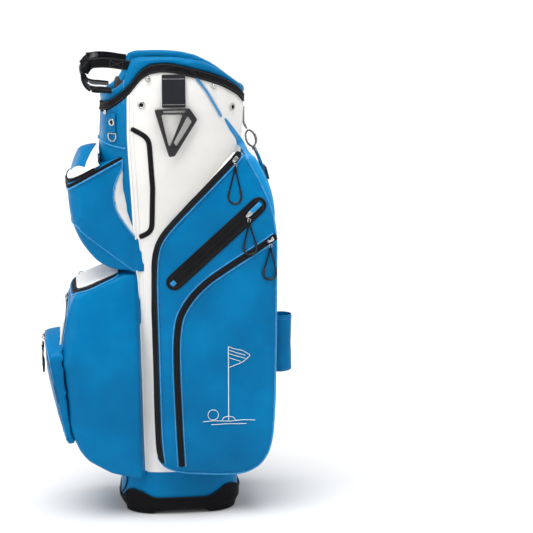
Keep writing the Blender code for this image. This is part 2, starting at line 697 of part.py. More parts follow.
COOL_TOP, COOL_LOW = (-0.1100, 0.4850), (-0.1990, 0.4480)
sf = slope_frame(COOL_TOP, COOL_LOW, 0.0016)
length = math.hypot(COOL_LOW[0] - COOL_TOP[0], COOL_LOW[1] - COOL_TOP[1])
plate = rounded([(-0.0700, 0.0060), (0.0700, 0.0060), (0.0760, length - 0.006), (-0.0760, length - 0.006)], 0.022, 5)
cooler_hinge = sf @ Vector((0, 0.006, 0.0015))
add("cooler_flap", *place(loft([[Vector((x, y, z)) for x, y in plate] for z in (0.0, 0.0032)]), sf), WHITE, 0.45,
    origin=cooler_hinge)


def arch_outline(half, top, bottom, sag, corner, n=14):
    """An upright panel: gently arched top, round shoulders, straight sides; local X across, local Y up."""
    r = (half ** 2 + sag ** 2) / (2 * sag)
    pts = []
    for k in range(n + 1):
        x = half - 2 * half * k / n
        pts.append((x, top - r + math.sqrt(max(r * r - x * x, 0))))
    pts = [(half, bottom)] + pts + [(-half, bottom)]
    return rounded(pts, corner, 3)


def tilt_frame(z, lift):
    """Local X across the bag, local Y up the front panel, local Z out towards the front."""
    y = -0.2290 + (0.318 - z) * 0.0
    return y


# arched panel above the ball pocket, lying on the slope between heights 0.318 and 0.420
pf0, pf1 = (-0.2130, 0.4200), (-0.2290, 0.3180)
ff = slope_frame(pf0, pf1, 0.0030)
flap2 = arch_outline(0.0720, -0.0030, -0.0980, 0.012, 0.020, 10)
add("front_flap", *place(loft([[Vector((x, -y, z)) for x, y in flap2] for z in (0.0, 0.0024)]), ff), WHITE, 0.45)

# ball pocket: an arched box with a crowned front, leaning with the front panels
BALL_TOP, BALL_LOW = 0.3540, 0.1420
BALL_HALF = 0.1040
BY0 = -0.2380               # depth of the zip plane at height 0.25
bn = Vector((0, -1, -FRONT_TILT)).normalized()
bu = Vector((0, -FRONT_TILT, 1)).normalized()
ball_o = Vector((0, BY0 - 0.0010, 0.250))
bframe = frame_from(ball_o, (1, 0, 0), bu)      # local Z = X cross up = towards the front
ball_c = arch_outline(BALL_HALF, 0.1080, -0.1020, 0.026, 0.022, 12)


def ball_ring(scale_in, zloc):
    out = []
    for x, y in ball_c:
        fx = (BALL_HALF - scale_in) / BALL_HALF
        fy = (0.105 - scale_in) / 0.105
        out.append(bframe @ Vector((x * fx, 0.003 + (y - 0.003) * fy, zloc)))
    return out


ball = add("ball_pocket", *loft([ball_ring(0.0, -0.0400), ball_ring(0.0, -0.0015), ball_ring(0.0015, 0.0),
                                 ball_ring(0.016, 0.0), ball_ring(0.026, 0.0030), ball_ring(0.048, 0.0062),
                                 ball_ring(0.075, 0.0080)]), BLUE, 0.45)
# the lower pocket's own solid, grown a little, is taken out of the ball pocket's back
grown = []
for z, yf, w in LOWER:
    grown.append(lower_ring(z, yf - 0.0005, w + 0.0005))
grown = [[Vector((p.x, p.y, p.z - 0.0008)) for p in grown[0]]] + grown[1:]
lower_cutter = add("cutter_lower", *loft(grown), BLUE, cutter=True)
cut(ball, lower_cutter)
flap_guard = add("cutter_flap_guard",
                 *place(loft([[Vector((x, -y, z)) for x, y in arch_outline(0.0730, 0.0, -0.0990, 0.012, 0.020, 10)]
                              for z in (-0.006, 0.0030)]), ff), WHITE, cutter=True)
cut(ball, flap_guard)

# ---------------------------------------------------------------- umbrella sleeve on the spine
SL_Y, SL_R, SL_IN = 0.1990, 0.0200, 0.0165
sl = []
for z in (0.2660, 0.3800):
    sl.append([Vector((SL_R * math.cos(2 * math.pi * k / 24), SL_Y + SL_R * math.sin(2 * math.pi * k / 24), z)) for k in range(24)])
inner_z = (0.3800, 0.2720)
sl_rings = [sl[0], sl[1]] + [[Vector((SL_IN * math.cos(2 * math.pi * k / 24), SL_Y + SL_IN * math.sin(2 * math.pi * k / 24), z))
                              for k in range(24)] for z in inner_z]
add("umbrella_sleeve", *loft(sl_rings), BLUE, 0.45)


# ---------------------------------------------------------------- snaps, eyelets, D-ring
def turned(profile, origin, normal, sides=16, hole=False):
    """A small turned piece on an axis: profile points are (radius, height along the normal)."""
    nrm = Vector(normal).normalized()
    u = nrm.cross(Vector((0, 0, 1)))
    u = u.normalized() if u.length > 1e-6 else Vector((1, 0, 0))
    v = nrm.cross(u)
    rings = [[Vector(origin) + nrm * h + (u * math.cos(2 * math.pi * k / sides) + v * math.sin(2 * math.pi * k / sides)) * r
              for k in range(sides)] for r, h in profile]
    return wrap(rings) if hole else loft(rings)


SNAP = [(0.0046, 0.0), (0.0048, 0.0010), (0.0038, 0.0024), (0.0016, 0.0031)]
snaps = {}
for side, sx in (("left", -1), ("right", 1)):
    snaps["snap_front_" + side] = surface_at(x=sx * 0.0550, z=0.7930, offset=0.0022)
    snaps["snap_side_" + side] = surface_at(y=-0.0560, z=0.8590, side=sx, offset=0.0022)
    snaps["snap_rear_" + side] = surface_at(y=0.0668, z=0.8440, side=sx, offset=0.0022)
for name, (p, nrm) in snaps.items():
    add(name, *turned(SNAP, p, nrm), SILVER, 0.25, 1.0)

EYE = [(0.0032, 0.0), (0.0058, 0.0), (0.0062, 0.0008), (0.0052, 0.0020), (0.0036, 0.0022), (0.0032, 0.0012)]
TAB_T = 0.0020
for side, sx in (("left", -1), ("right", 1)):
    p, nrm = surface_at(x=sx * 0.0740, z=0.7760, offset=0.0014 + (TAB_T + GAP if sx > 0 else 0))
    add("eyelet_front_" + side, *turned(EYE, p, nrm, 14, True), SILVER, 0.25, 1.0)
    p, nrm = surface_at(y=-0.0690, z=0.8107, side=sx, offset=0.0007)
    add("eyelet_side_" + side, *turned(EYE, p, nrm, 14, True), SILVER, 0.25, 1.0)
    p, nrm = surface_at(y=0.1040, z=0.8030, side=sx, offset=0.0007)
    add("eyelet_rear_" + side, *turned(EYE, p, nrm, 14, True), SILVER, 0.25, 1.0)

tp, tn = surface_at(x=0.0740, z=0.7760)
tt = Vector((0, 0, 1)).cross(tn).normalized()
tab = frame_from(tp + tn * 0.0014, tt, (0, 0, 1))      # local Z = outward
tab_out = rounded([(-0.0080, -0.0190), (0.0080, -0.0190), (0.0080, 0.0170), (-0.0080, 0.0170)], 0.003, 2)
add("ring_tab", *place(loft([[Vector((x, y, z)) for x, y in tab_out] for z in (0.0, TAB_T)]), tab), BLUE, 0.45)
dr = [(-0.0088, 0.0), (0.0088, 0.0)] + [(0.0105 * math.cos(t), -0.0035 - 0.0105 * math.sin(t)) for t in
                                        [math.pi * k / 10 for k in range(11)]]
dz = -0.0210
D_HINGE = tab @ Vector((0, dz, 0.0020))
dpts = closed_curve([(x, y + dz) for x, y in rounded([(-0.0100, 0), (0.0100, 0), (0.0098, -0.0080), (0.0050, -0.0145),
                                                      (-0.0050, -0.0145), (-0.0098, -0.0080)], 0.003, 2)], 26)
add("d_ring", *place(tube_loop([(x, y, 0.0020) for x, y in dpts], 0.0012), tab), SILVER, 0.25, 1.0, origin=D_HINGE)

# ---------------------------------------------------------------- towel straps and triangle rings
STRAP_X0, STRAP_X1 = 0.1116, 0.1140
TRI = [(-0.0463, 0.8030), (0.0204, 0.8045), (0.0350, 0.7830), (-0.0080, 0.7150), (-0.0190, 0.7125)]
TRI_MAIN = [(-0.0330, 0.7930), (0.0075, 0.7930), (-0.0185, 0.7300)]
TRI_SLOT = [(0.0165, 0.7905), (0.0240, 0.7790), (-0.0055, 0.7330), (-0.0100, 0.7400)]
TRI_TOP = [(-0.0290, 0.8000), (0.0120, 0.8005), (0.0120, 0.7965), (-0.0290, 0.7965)]
RING_X0, RING_X1 = 0.1121, 0.1171
for side, sx in (("left", -1), ("right", 1)):
    hinge = (sx * (STRAP_X0 + STRAP_X1) / 2, -0.0090, 0.8665)
    strap_o = rounded([(-0.0310, 0.8060), (0.0130, 0.8060), (0.0130, 0.8645), (-0.0310, 0.8645)], 0.002, 1)
    add("towel_strap_" + side, *prism_x(strap_o, sx * STRAP_X0, sx * STRAP_X1), BLACK, 0.95, origin=hinge)
    ring_hinge = (sx * (RING_X0 + RING_X1) / 2, -0.0090, 0.8045)
    tr = add("towel_ring_" + side, *prism_x(rounded(TRI, 0.004, 2), sx * RING_X0, sx * RING_X1), BLACK, 0.35,
             origin=ring_hinge)
    for k, (hole, r) in enumerate(((TRI_MAIN, 0.003), (TRI_SLOT, 0.002), (TRI_TOP, 0.0010))):
        c = add("cutter_tri_%s_%d" % (side, k), *prism_x(rounded(hole, r, 1), sx * 0.10, sx * 0.13), BLACK, cutter=True)
        cut(tr, c)

# ---------------------------------------------------------------- shoulder strap at the back
tab_path = open_curve([(0, 0.1345, 0.7960), (0, 0.1345, 0.7800), (0, 0.1350, 0.7660)], 5)
add("strap_tab", *band_sweep(tab_path, [0.030] * 5, [(1, 0, 0)] * 5, 0.0024), WHITE, 0.45)
ringp = closed_curve([(0.0150, 0.7630), (0.0170, 0.7600), (0.0150, 0.7530), (-0.0150, 0.7530), (-0.0170, 0.7600),
                      (-0.0150, 0.7630)], 20)
add("strap_ring", *tube_loop([(x, 0.1350 + (0.7630 - z) * 0.45, z) for x, z in ringp], 0.0013), SILVER, 0.25, 1.0)
hook = closed_curve([(0.0, 0.1450, 0.7490), (0.0, 0.1385, 0.7400), (0.0, 0.1420, 0.7250), (0.0, 0.1520, 0.7170),
                     (0.0, 0.1590, 0.7250), (0.0, 0.1560, 0.7400)], 20)
add("strap_hook", *tube_loop(hook, 0.0018), SILVER, 0.3, 1.0)
strap_path = open_curve([(0, 0.1560, 0.7120), (0, 0.1640, 0.6950), (0, 0.1740, 0.6650), (0, 0.1835, 0.6200),
                         (0, 0.1840, 0.5600), (0, 0.1830, 0.4600), (0, 0.1835, 0.4000)], 18)
add("shoulder_strap", *band_sweep(strap_path, [0.036] * 18, [(1, 0, 0)] * 18, 0.0040), BLUE, 0.5)


# ---------------------------------------------------------------- zip sliders and cord pulls
def slider_shape(w=0.0075, l=0.0130, h=0.0045):
    out = rounded([(-w / 2, -l / 2), (w / 2, -l / 2), (w / 2 * 0.8, l / 2), (-w / 2 * 0.8, l / 2)], 0.0015, 2)
    small = [(x * 0.75, y * 0.85) for x, y in out]
    return loft([[Vector((x, y, 0)) for x, y in out], [Vector((x, y, h * 0.6)) for x, y in out],
                 [Vector((x, y, h)) for x, y in small]])


def pull_shape(length, width, lift):
    """A cord loop that hangs from the slider: narrow at the top, round at the bottom."""
    pts = closed_curve([(0.0, 0.0), (0.0022, -0.002), (width * 0.32, -length * 0.45), (width / 2, -length * 0.78), (width * 0.30, -length * 0.97),
                        (0.0, -length), (-width * 0.30, -length * 0.97), (-width / 2, -length * 0.78),
                        (-width * 0.32, -length * 0.45), (-0.0022, -0.002)], 20)
    return tube_loop([(x, y, lift) for x, y in pts], CORD_R, 6)


def zip_set(tag, origin, out_dir, travel, length=0.066, width=0.0190, lift=0.0022, hang=None):
    """A slider on its zip, pointing along the travel, and the cord pull hanging straight down from it."""
    n = Vector(out_dir).normalized()
    t = Vector(travel).normalized()
    sf_ = frame_from(Vector(origin) + n * 0.0006, n.cross(t) * -1, t * -1)
    if (sf_.to_3x3() @ Vector((0, 0, 1))).dot(n) < 0:
        sf_ = frame_from(Vector(origin) + n * 0.0006, n.cross(t), t * -1)
    add("slider_" + tag, *place(slider_shape(), sf_), SILVER, 0.3, 1.0, origin=origin)
    if hang is not None:
        n = Vector(hang)
    down = Vector((0, 0, -1))
    down = (down - n * down.dot(n)).normalized()
    pf_ = frame_from(Vector(origin) + down * 0.0088, n.cross(down), down * -1)
    hinge = Vector(origin) + down * 0.0088 + n * lift
    add("pull_" + tag, *place(pull_shape(length, width, lift), pf_), BLACK, 0.6, origin=hinge)
    return hinge, pf_


def side_normal(z, sx):
    s = (SIDE_FACE - SIDE_FACE_TOP) / 0.11
    if z > 0.615:
        return Vector((sx, 0, s)).normalized()
    return Vector((sx, 0, 0))


ZIPS = {}
for side, sx in (("left", -1), ("right", 1)):
    y, z = 0.1060, 0.7065
    far = (0.0300, 0.6320)
    o = (sx * side_face(z), y, z)
    e = (sx * side_face(far[1]), far[0], far[1])
    ZIPS["main_" + side] = (o, e, zip_set("main_" + side, o, side_normal(z, sx), Vector(e) - Vector(o)))
    y, z = 0.1300, 0.6034
    far = (0.0000, 0.4867)
    o = (sx * side_face(z), y, z)
    e = (sx * SIDE_FACE, far[0], far[1])
    ZIPS["dry_" + side] = (o, e, zip_set("dry_" + side, o, side_normal(z, sx), Vector(e) - Vector(o), 0.060))
    y, z = 0.1720, 0.5532
    far = (0.1280, 0.5256)
    o = (sx * SIDE_FACE, y, z)
    e = (sx * SIDE_FACE, far[0], far[1])
    ZIPS["lower_" + side] = (o, e, zip_set("lower_" + side, o, side_normal(z, sx), Vector(e) - Vector(o), 0.060))

# the ball pocket's two sliders travel along its arched top
ARC_R = (BALL_HALF ** 2 + 0.026 ** 2) / (2 * 0.026)
ARC_C = bframe @ Vector((0, 0.1080 - ARC_R, 0.0))
for side, sx in (("left", -1), ("right", 1)):
    a = math.radians(3.2) * sx
    r = ARC_R - 0.0075
    p = bframe @ Vector((r * math.sin(a), 0.1080 - ARC_R + r * math.cos(a), 0.0))
    t = bframe.to_3x3() @ Vector((math.cos(a), -math.sin(a), 0)) * sx
    ZIPS["ball_" + side] = (tuple(p), tuple(ARC_C), zip_set("ball_" + side, tuple(p), bn, t, 0.052, 0.0190, 0.0050,
                                                         (0, -1, 0)))
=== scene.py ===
"""Looks of the cart golf bag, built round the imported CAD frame. Metres, +Z up, front of the bag towards -Y."""
import bpy
import bmesh
import math
import random
import numpy as np
from mathutils import Vector, Matrix
from mathutils.bvhtree import BVHTree
from mathutils import noise as mnoise


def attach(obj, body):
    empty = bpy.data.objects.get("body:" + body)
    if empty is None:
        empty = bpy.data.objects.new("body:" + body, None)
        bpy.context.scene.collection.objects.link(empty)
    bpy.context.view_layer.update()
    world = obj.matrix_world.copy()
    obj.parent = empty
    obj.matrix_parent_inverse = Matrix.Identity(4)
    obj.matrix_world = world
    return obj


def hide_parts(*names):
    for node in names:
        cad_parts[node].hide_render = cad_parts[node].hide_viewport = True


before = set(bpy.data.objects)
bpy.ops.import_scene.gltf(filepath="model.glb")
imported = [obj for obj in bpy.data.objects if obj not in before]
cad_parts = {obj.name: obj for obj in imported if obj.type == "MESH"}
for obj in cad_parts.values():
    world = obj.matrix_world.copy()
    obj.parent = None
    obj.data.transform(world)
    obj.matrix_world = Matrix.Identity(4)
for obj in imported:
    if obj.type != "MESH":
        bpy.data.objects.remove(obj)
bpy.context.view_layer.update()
random.seed(11)
scene = bpy.context.scene

# ---------------------------------------------------------------- camera
cam_data = bpy.data.cameras.new("camera")
cam = bpy.data.objects.new("camera", cam_data)
scene.collection.objects.link(cam)
cam.location = (3.29196137, -0.23019636, 1.13)
view_dir = Vector((-0.97363137, 0.12122533, -0.1932521))
cam.rotation_mode = "QUATERNION"
cam.rotation_quaternion = view_dir.to_track_quat("-Z", "Y")
cam_data.sensor_width = 36.0
cam_data.lens = 115.0528
cam_data.clip_start = 0.02
cam_data.clip_end = 120.0
scene.camera = cam

# ---------------------------------------------------------------- studio
scene.view_settings.view_transform = "Standard"
scene.view_settings.look = "None"
scene.view_settings.exposure = 0.0
scene.view_settings.gamma = 1.0
world = bpy.data.worlds.new("studio")
scene.world = world
world.use_nodes = True
world.node_tree.nodes["Background"].inputs[0].default_value = (0.96, 0.98, 1.0, 1)
world.node_tree.nodes["Background"].inputs[1].default_value = 0.36


def area(name, loc, target, size, size_y, power, color=(1, 1, 1)):
    d = bpy.data.lights.new(name, "AREA")
    d.shape = "RECTANGLE"
    d.size, d.size_y = size, size_y
    d.energy = power
    d.color = color
    o = bpy.data.objects.new(name, d)
    scene.collection.objects.link(o)
    o.location = loc
    o.rotation_mode = "QUATERNION"
    o.rotation_quaternion = (Vector(target) - Vector(loc)).to_track_quat("-Z", "Y")
    return o


def soft_sun(name, toward, strength, angle, color=(1, 1, 1)):
    """Very large, far softbox: the same light everywhere on the paper."""
    d = bpy.data.lights.new(name, "SUN")
    d.energy = strength
    d.angle = math.radians(angle)
    d.color = color
    o = bpy.data.objects.new(name, d)
    scene.collection.objects.link(o)
    o.location = Vector(toward) * 4
    o.rotation_mode = "QUATERNION"
    o.rotation_quaternion = (-Vector(toward)).to_track_quat("-Z", "Y")
    return o


soft_sun("key_box", (0.20, -0.12, 0.95), 3.5, 46)
soft_sun("front_box", (0.30, -0.75, 0.62), 0.75, 60)
soft_sun("rear_box", (-0.35, 0.70, 0.62), 0.85, 60)
area("strip_right", (1.5, -1.7, 1.1), (0, 0, 0.5), 0.35, 1.8, 9)
area("strip_rear", (1.3, 1.9, 1.2), (0, 0, 0.5), 0.30, 1.8, 7)
area("strip_left", (-1.9, -1.4, 1.1), (0, 0, 0.5), 0.35, 1.8, 8)

fm = bpy.data.meshes.new("floor")
fb = bmesh.new()
bmesh.ops.create_grid(fb, x_segments=8, y_segments=8, size=48.0)
fb.to_mesh(fm)
fb.free()
floor = bpy.data.objects.new("floor", fm)
floor.location = (0, 0, -0.0004)
scene.collection.objects.link(floor)
fmat = bpy.data.materials.new("floor_paper")
fmat.use_nodes = True
fbsdf = fmat.node_tree.nodes["Principled BSDF"]
fbsdf.inputs["Base Color"].default_value = (0.66, 0.66, 0.66, 1)
fbsdf.inputs["Roughness"].default_value = 0.9
fbsdf.inputs["Specular IOR Level"].default_value = 0.1
floor.data.materials.append(fmat)


# ---------------------------------------------------------------- materials (all procedural)
class Mat:
    """A small builder round one Principled shader."""

    def __init__(self, name):
        self.m = bpy.data.materials.new(name)
        self.m.use_nodes = True
        self.t = self.m.node_tree
        self.b = self.t.nodes["Principled BSDF"]
        self.co = self.t.nodes.new("ShaderNodeTexCoord").outputs["Object"]

    def n(self, kind, **kw):
        node = self.t.nodes.new(kind)
        for k, v in kw.items():
            if k.startswith("i_"):
                node.inputs[k[2:].replace("_", " ")].default_value = v
            else:
                setattr(node, k, v)
        return node

    def link(self, a, b):
        self.t.links.new(a, b)

    def noise(self, scale, detail=2.0, rough=0.5, co=None):
        nd = self.n("ShaderNodeTexNoise", i_Scale=scale, i_Detail=detail, i_Roughness=rough)
        self.link(co or self.co, nd.inputs["Vector"])
        return nd.outputs["Fac"]

    def voronoi(self, scale, feature="F1", out="Distance", co=None):
        nd = self.n("ShaderNodeTexVoronoi", feature=feature, i_Scale=scale)
        self.link(co or self.co, nd.inputs["Vector"])
        return nd.outputs[out]

    def scaled(self, s, co=None):
        nd = self.n("ShaderNodeMapping")
        nd.inputs["Scale"].default_value = s
        self.link(co or self.co, nd.inputs["Vector"])
        return nd.outputs["Vector"]

    def wave(self, scale, direction="X", co=None, dist=0.0, profile="SIN"):
        nd = self.n("ShaderNodeTexWave", wave_type="BANDS", bands_direction=direction, wave_profile=profile,
                    i_Scale=scale, i_Distortion=dist)
        self.link(co or self.co, nd.inputs["Vector"])
        return nd.outputs["Fac"]

    def math(self, op, a, b=0.5, clamp=False):
        nd = self.n("ShaderNodeMath", operation=op, use_clamp=clamp)
        for k, v in ((0, a), (1, b)):
            if isinstance(v, (int, float)):
                nd.inputs[k].default_value = v
            else:
                self.link(v, nd.inputs[k])
        return nd.outputs[0]

    def ramp(self, fac, stops):
        nd = self.n("ShaderNodeValToRGB")
        cr = nd.color_ramp
        while len(cr.elements) < len(stops):
            cr.elements.new(0.5)
        for e, (pos, col) in zip(cr.elements, stops):
            e.position = pos
            e.color = (*col, 1) if len(col) == 3 else col
        self.link(fac, nd.inputs["Fac"])
        return nd.outputs["Color"]

    def mix(self, fac, a, b, blend="MIX"):
        nd = self.n("ShaderNodeMixRGB", blend_type=blend)
        for k, v in (("Fac", fac), ("Color1", a), ("Color2", b)):
            if isinstance(v, (int, float)):
                nd.inputs[k].default_value = v
            elif isinstance(v, tuple):
                nd.inputs[k].default_value = (*v, 1)
            else:
                self.link(v, nd.inputs[k])
        return nd.outputs["Color"]

    def span(self, fac, lo, hi, a, b):
        nd = self.n("ShaderNodeMapRange")
        nd.inputs["From Min"].default_value = lo
        nd.inputs["From Max"].default_value = hi
        nd.inputs["To Min"].default_value = a
        nd.inputs["To Max"].default_value = b
        self.link(fac, nd.inputs["Value"])
        return nd.outputs["Result"]

    def bump(self, height, dist, strength=1.0, normal=None):
        nd = self.n("ShaderNodeBump")
        nd.inputs["Distance"].default_value = dist
        nd.inputs["Strength"].default_value = strength
        self.link(height, nd.inputs["Height"])
        if normal is not None:
            self.link(normal, nd.inputs["Normal"])
        return nd.outputs["Normal"]

    def done(self, color=None, rough=None, normal=None, **kw):
        if color is not None:
            if isinstance(color, tuple):
                self.b.inputs["Base Color"].default_value = (*color, 1)
            else:
                self.link(color, self.b.inputs["Base Color"])
        if rough is not None:
            if isinstance(rough, (int, float)):
                self.b.inputs["Roughness"].default_value = rough
            else:
                self.link(rough, self.b.inputs["Roughness"])
        if normal is not None:
            self.link(normal, self.b.inputs["Normal"])
        for k, v in kw.items():
            self.b.inputs[k.replace("_", " ")].default_value = v
        return self.m


def leather(name, dark, mid, light, rough=(0.34, 0.46), grain=0.00016, soil=0.12, coat=0.0, spec=0.07):
    """Coated synthetic leather: pebbled grain, slow colour drift, scuffs rubbed pale on the high spots."""
    k = Mat(name)
    drift = k.noise(7.0, 3.0, 0.55)
    col = k.ramp(drift, [(0.30, dark), (0.52, mid), (0.74, light)])
    fine = k.noise(1300.0, 2.0, 0.6)
    col = k.mix(k.span(fine, 0.35, 0.65, 0.0, 0.10), col, light)
    edge = k.n("ShaderNodeNewGeometry").outputs["Pointiness"]
    scuff = k.math("MULTIPLY", k.span(edge, 0.53, 0.60, 0.0, 1.0), k.span(k.noise(160.0, 3.0), 0.45, 0.65, 0.0, 1.0), True)
    col = k.mix(k.math("MULTIPLY", scuff, soil), col, (0.80, 0.82, 0.84))
    cells = k.voronoi(900.0)
    folds = k.noise(420.0, 3.0, 0.6)
    height = k.math("ADD", k.math("MULTIPLY", cells, 0.65), k.math("MULTIPLY", folds, 0.55))
    wide = k.noise(34.0, 3.0, 0.55)
    nrm = k.bump(wide, 0.0016, 0.35)
    nrm = k.bump(height, grain, 0.55, nrm)
    r = k.math("ADD", k.span(k.noise(22.0, 4.0, 0.6), 0.3, 0.7, rough[0], rough[1]), k.span(cells, 0.0, 0.6, 0.03, -0.02))
    return k.done(col, r, nrm, Specular_IOR_Level=spec, Coat_Weight=coat, Coat_Roughness=0.28)


def webbing(name, dark, light, pitch=0.0011, rough=(0.62, 0.86), grain=0.00022, sheen=0.25, uv=False):
    """Woven tape: crossed ribs with slight unevenness."""
    k = Mat(name)
    co = k.t.nodes.new("ShaderNodeTexCoord").outputs["UV"] if uv else k.co
    s = 1.0 / pitch / 6.2832 * 3.1416
    a = k.wave(s, "X", co, 0.6)
    b = k.wave(s, "Y", co, 0.6) if uv else k.wave(s, "Z", co, 0.6)
    weave = k.math("MULTIPLY", k.math("ADD", a, b), 0.5)
    fib = k.noise(2200.0, 2.0, 0.6)
    h = k.math("ADD", weave, k.math("MULTIPLY", fib, 0.4))
    col = k.ramp(h, [(0.25, dark), (0.95, light)])
    col = k.mix(k.span(k.noise(30.0, 3.0), 0.35, 0.7, 0.0, 0.35), col, light)
    nrm = k.bump(h, grain, 0.8)
    r = k.span(k.noise(80.0, 3.0), 0.3, 0.7, rough[0], rough[1])
    return k.done(col, r, nrm, Sheen_Weight=sheen, Sheen_Roughness=0.45, Specular_IOR_Level=0.04)


def metal(name, dark, light, rough=(0.14, 0.30), brush=0.00003):
    k = Mat(name)
    sm = k.noise(60.0, 4.0, 0.65)
    col = k.ramp(sm, [(0.3, dark), (0.7, light)])
    lines = k.noise(900.0, 3.0, 0.7, k.scaled((1.0, 1.0, 0.12)))
    r = k.math("ADD", k.span(sm, 0.3, 0.7, rough[0], rough[1]), k.span(lines, 0.4, 0.7, 0.0, 0.07))
    return k.done(col, r, k.bump(lines, brush, 0.6), Metallic=1.0)


def moulded(name, dark, light, rough=(0.42, 0.58), grain=0.0003, scale=520.0, coat=0.0, spec=0.05):
    """Injection-moulded plastic with a spark-eroded texture and faint flow marks."""
    k = Mat(name)
    v = k.voronoi(scale)
    f = k.noise(scale * 1.7, 3.0, 0.6)
    h = k.math("ADD", v, k.math("MULTIPLY", f, 0.7))
    flow = k.noise(14.0, 4.0, 0.6)
    col = k.ramp(flow, [(0.3, dark), (0.75, light)])
    edge = k.n("ShaderNodeNewGeometry").outputs["Pointiness"]
    col = k.mix(k.span(edge, 0.53, 0.62, 0.0, 0.20), col, (0.10, 0.10, 0.11))
    r = k.math("ADD", k.span(flow, 0.3, 0.7, rough[0], rough[1]), k.span(v, 0.0, 0.6, 0.04, -0.03))
    return k.done(col, r, k.bump(h, grain, 0.6), Specular_IOR_Level=spec, Coat_Weight=coat, Coat_Roughness=0.15)


def fuzzy(name, dark, light, scale=1400.0, grain=0.0007, sheen=0.9):
    """Brushed fleece or hook-and-loop pile."""
    k = Mat(name)
    loops = k.voronoi(scale)
    f = k.noise(scale * 0.6, 4.0, 0.7)
    h = k.math("ADD", loops, f)
    col = k.ramp(h, [(0.35, dark), (1.0, light)])
    col = k.mix(k.span(k.noise(60.0, 3.0), 0.4, 0.75, 0.0, 0.5), col, light)
    return k.done(col, k.span(f, 0.3, 0.7, 0.86, 0.99), k.bump(h, grain, 0.9), Sheen_Weight=sheen * 0.12, Sheen_Roughness=0.6,
                  Specular_IOR_Level=0.1)


def thread(name, dark, light):
    k = Mat(name)
    w = k.wave(520.0, "DIAGONAL", None, 0.4)
    f = k.noise(2400.0, 2.0)
    h = k.math("ADD", w, k.math("MULTIPLY", f, 0.5))
    return k.done(k.ramp(h, [(0.3, dark), (1.1, light)]), k.span(f, 0.3, 0.7, 0.45, 0.65), k.bump(h, 0.00008, 0.7),
                  Sheen_Weight=0.3)


M_BLUE = leather("pu_blue", (0.000, 0.112, 0.272), (0.000, 0.142, 0.338), (0.000, 0.182, 0.412))
M_BLUE2 = leather("pu_blue_piping", (0.000, 0.165, 0.390), (0.000, 0.215, 0.490), (0.004, 0.270, 0.590), (0.26, 0.38),
                  0.00008, 0.20, 0.12, 0.30)
M_WHITE = leather("pu_white", (0.71, 0.695, 0.672), (0.765, 0.75, 0.725), (0.81, 0.795, 0.77), (0.40, 0.55), 0.00016, 0.0, 0.03, 0.3)
M_WHITE2 = leather("pu_white_piping", (0.80, 0.79, 0.765), (0.85, 0.84, 0.815), (0.89, 0.88, 0.86), (0.34, 0.46), 0.00008, 0.0,
                   0.08, 0.3)
M_BLACKPU = leather("pu_black", (0.003, 0.003, 0.004), (0.006, 0.006, 0.007), (0.012, 0.012, 0.014), (0.30, 0.44), 0.0002,
                    0.02, 0.0, 0.08)
M_TAPE = webbing("zip_tape", (0.003, 0.003, 0.004), (0.012, 0.012, 0.014), 0.0010, (0.55, 0.78), 0.00018, 0.02)
M_WEB = webbing("band_webbing", (0.003, 0.003, 0.004), (0.015, 0.015, 0.017), 0.0018, (0.66, 0.88), 0.0004, 0.03)
M_COIL = moulded("zip_coil", (0.003, 0.003, 0.004), (0.009, 0.009, 0.010), (0.28, 0.42), 0.00005, 900.0, 0.05)
M_DRY = moulded("dry_film", (0.005, 0.005, 0.006), (0.012, 0.012, 0.014), (0.30, 0.44), 0.00012, 1100.0, 0.04)
M_FLEECE = fuzzy("fleece_black", (0.003, 0.003, 0.004), (0.018, 0.018, 0.020))
M_LOOP = fuzzy("hook_loop", (0.003, 0.003, 0.005), (0.022, 0.023, 0.028), 1000.0, 0.0010, 0.5)
M_BASE = moulded("base_plastic", (0.003, 0.003, 0.004), (0.008, 0.008, 0.009), (0.40, 0.56), 0.00035, 520.0)
M_RING = moulded("ring_plastic", (0.004, 0.004, 0.006), (0.012, 0.012, 0.016), (0.22, 0.34), 0.00004, 300.0, 0.20, 0.35)
M_STEEL = metal("nickel", (0.40, 0.395, 0.385), (0.62, 0.615, 0.60), (0.10, 0.22))
M_GUN = metal("gunmetal", (0.16, 0.16, 0.17), (0.34, 0.34, 0.35), (0.20, 0.34))
M_CORD = webbing("pull_cord", (0.003, 0.003, 0.004), (0.020, 0.020, 0.022), 0.0007, (0.5, 0.7), 0.00025, 0.03)
M_TUBE = moulded("shrink_tube", (0.003, 0.003, 0.004), (0.009, 0.009, 0.010), (0.20, 0.32), 0.00003, 400.0, 0.10, 0.3)
M_THREAD_B = thread("thread_blue", (0.000, 0.10, 0.30), (0.02, 0.27, 0.62))
M_THREAD_W = thread("thread_white", (0.55, 0.55, 0.53), (0.90, 0.90, 0.88))
M_THREAD_K = thread("thread_black", (0.01, 0.01, 0.012), (0.06, 0.06, 0.07))
M_THREAD_G = thread("thread_grey", (0.30, 0.30, 0.31), (0.62, 0.62, 0.62))
M_LINING = webbing("lining", (0.004, 0.004, 0.005), (0.014, 0.014, 0.016), 0.0013, (0.7, 0.9), 0.0002, 0.05)


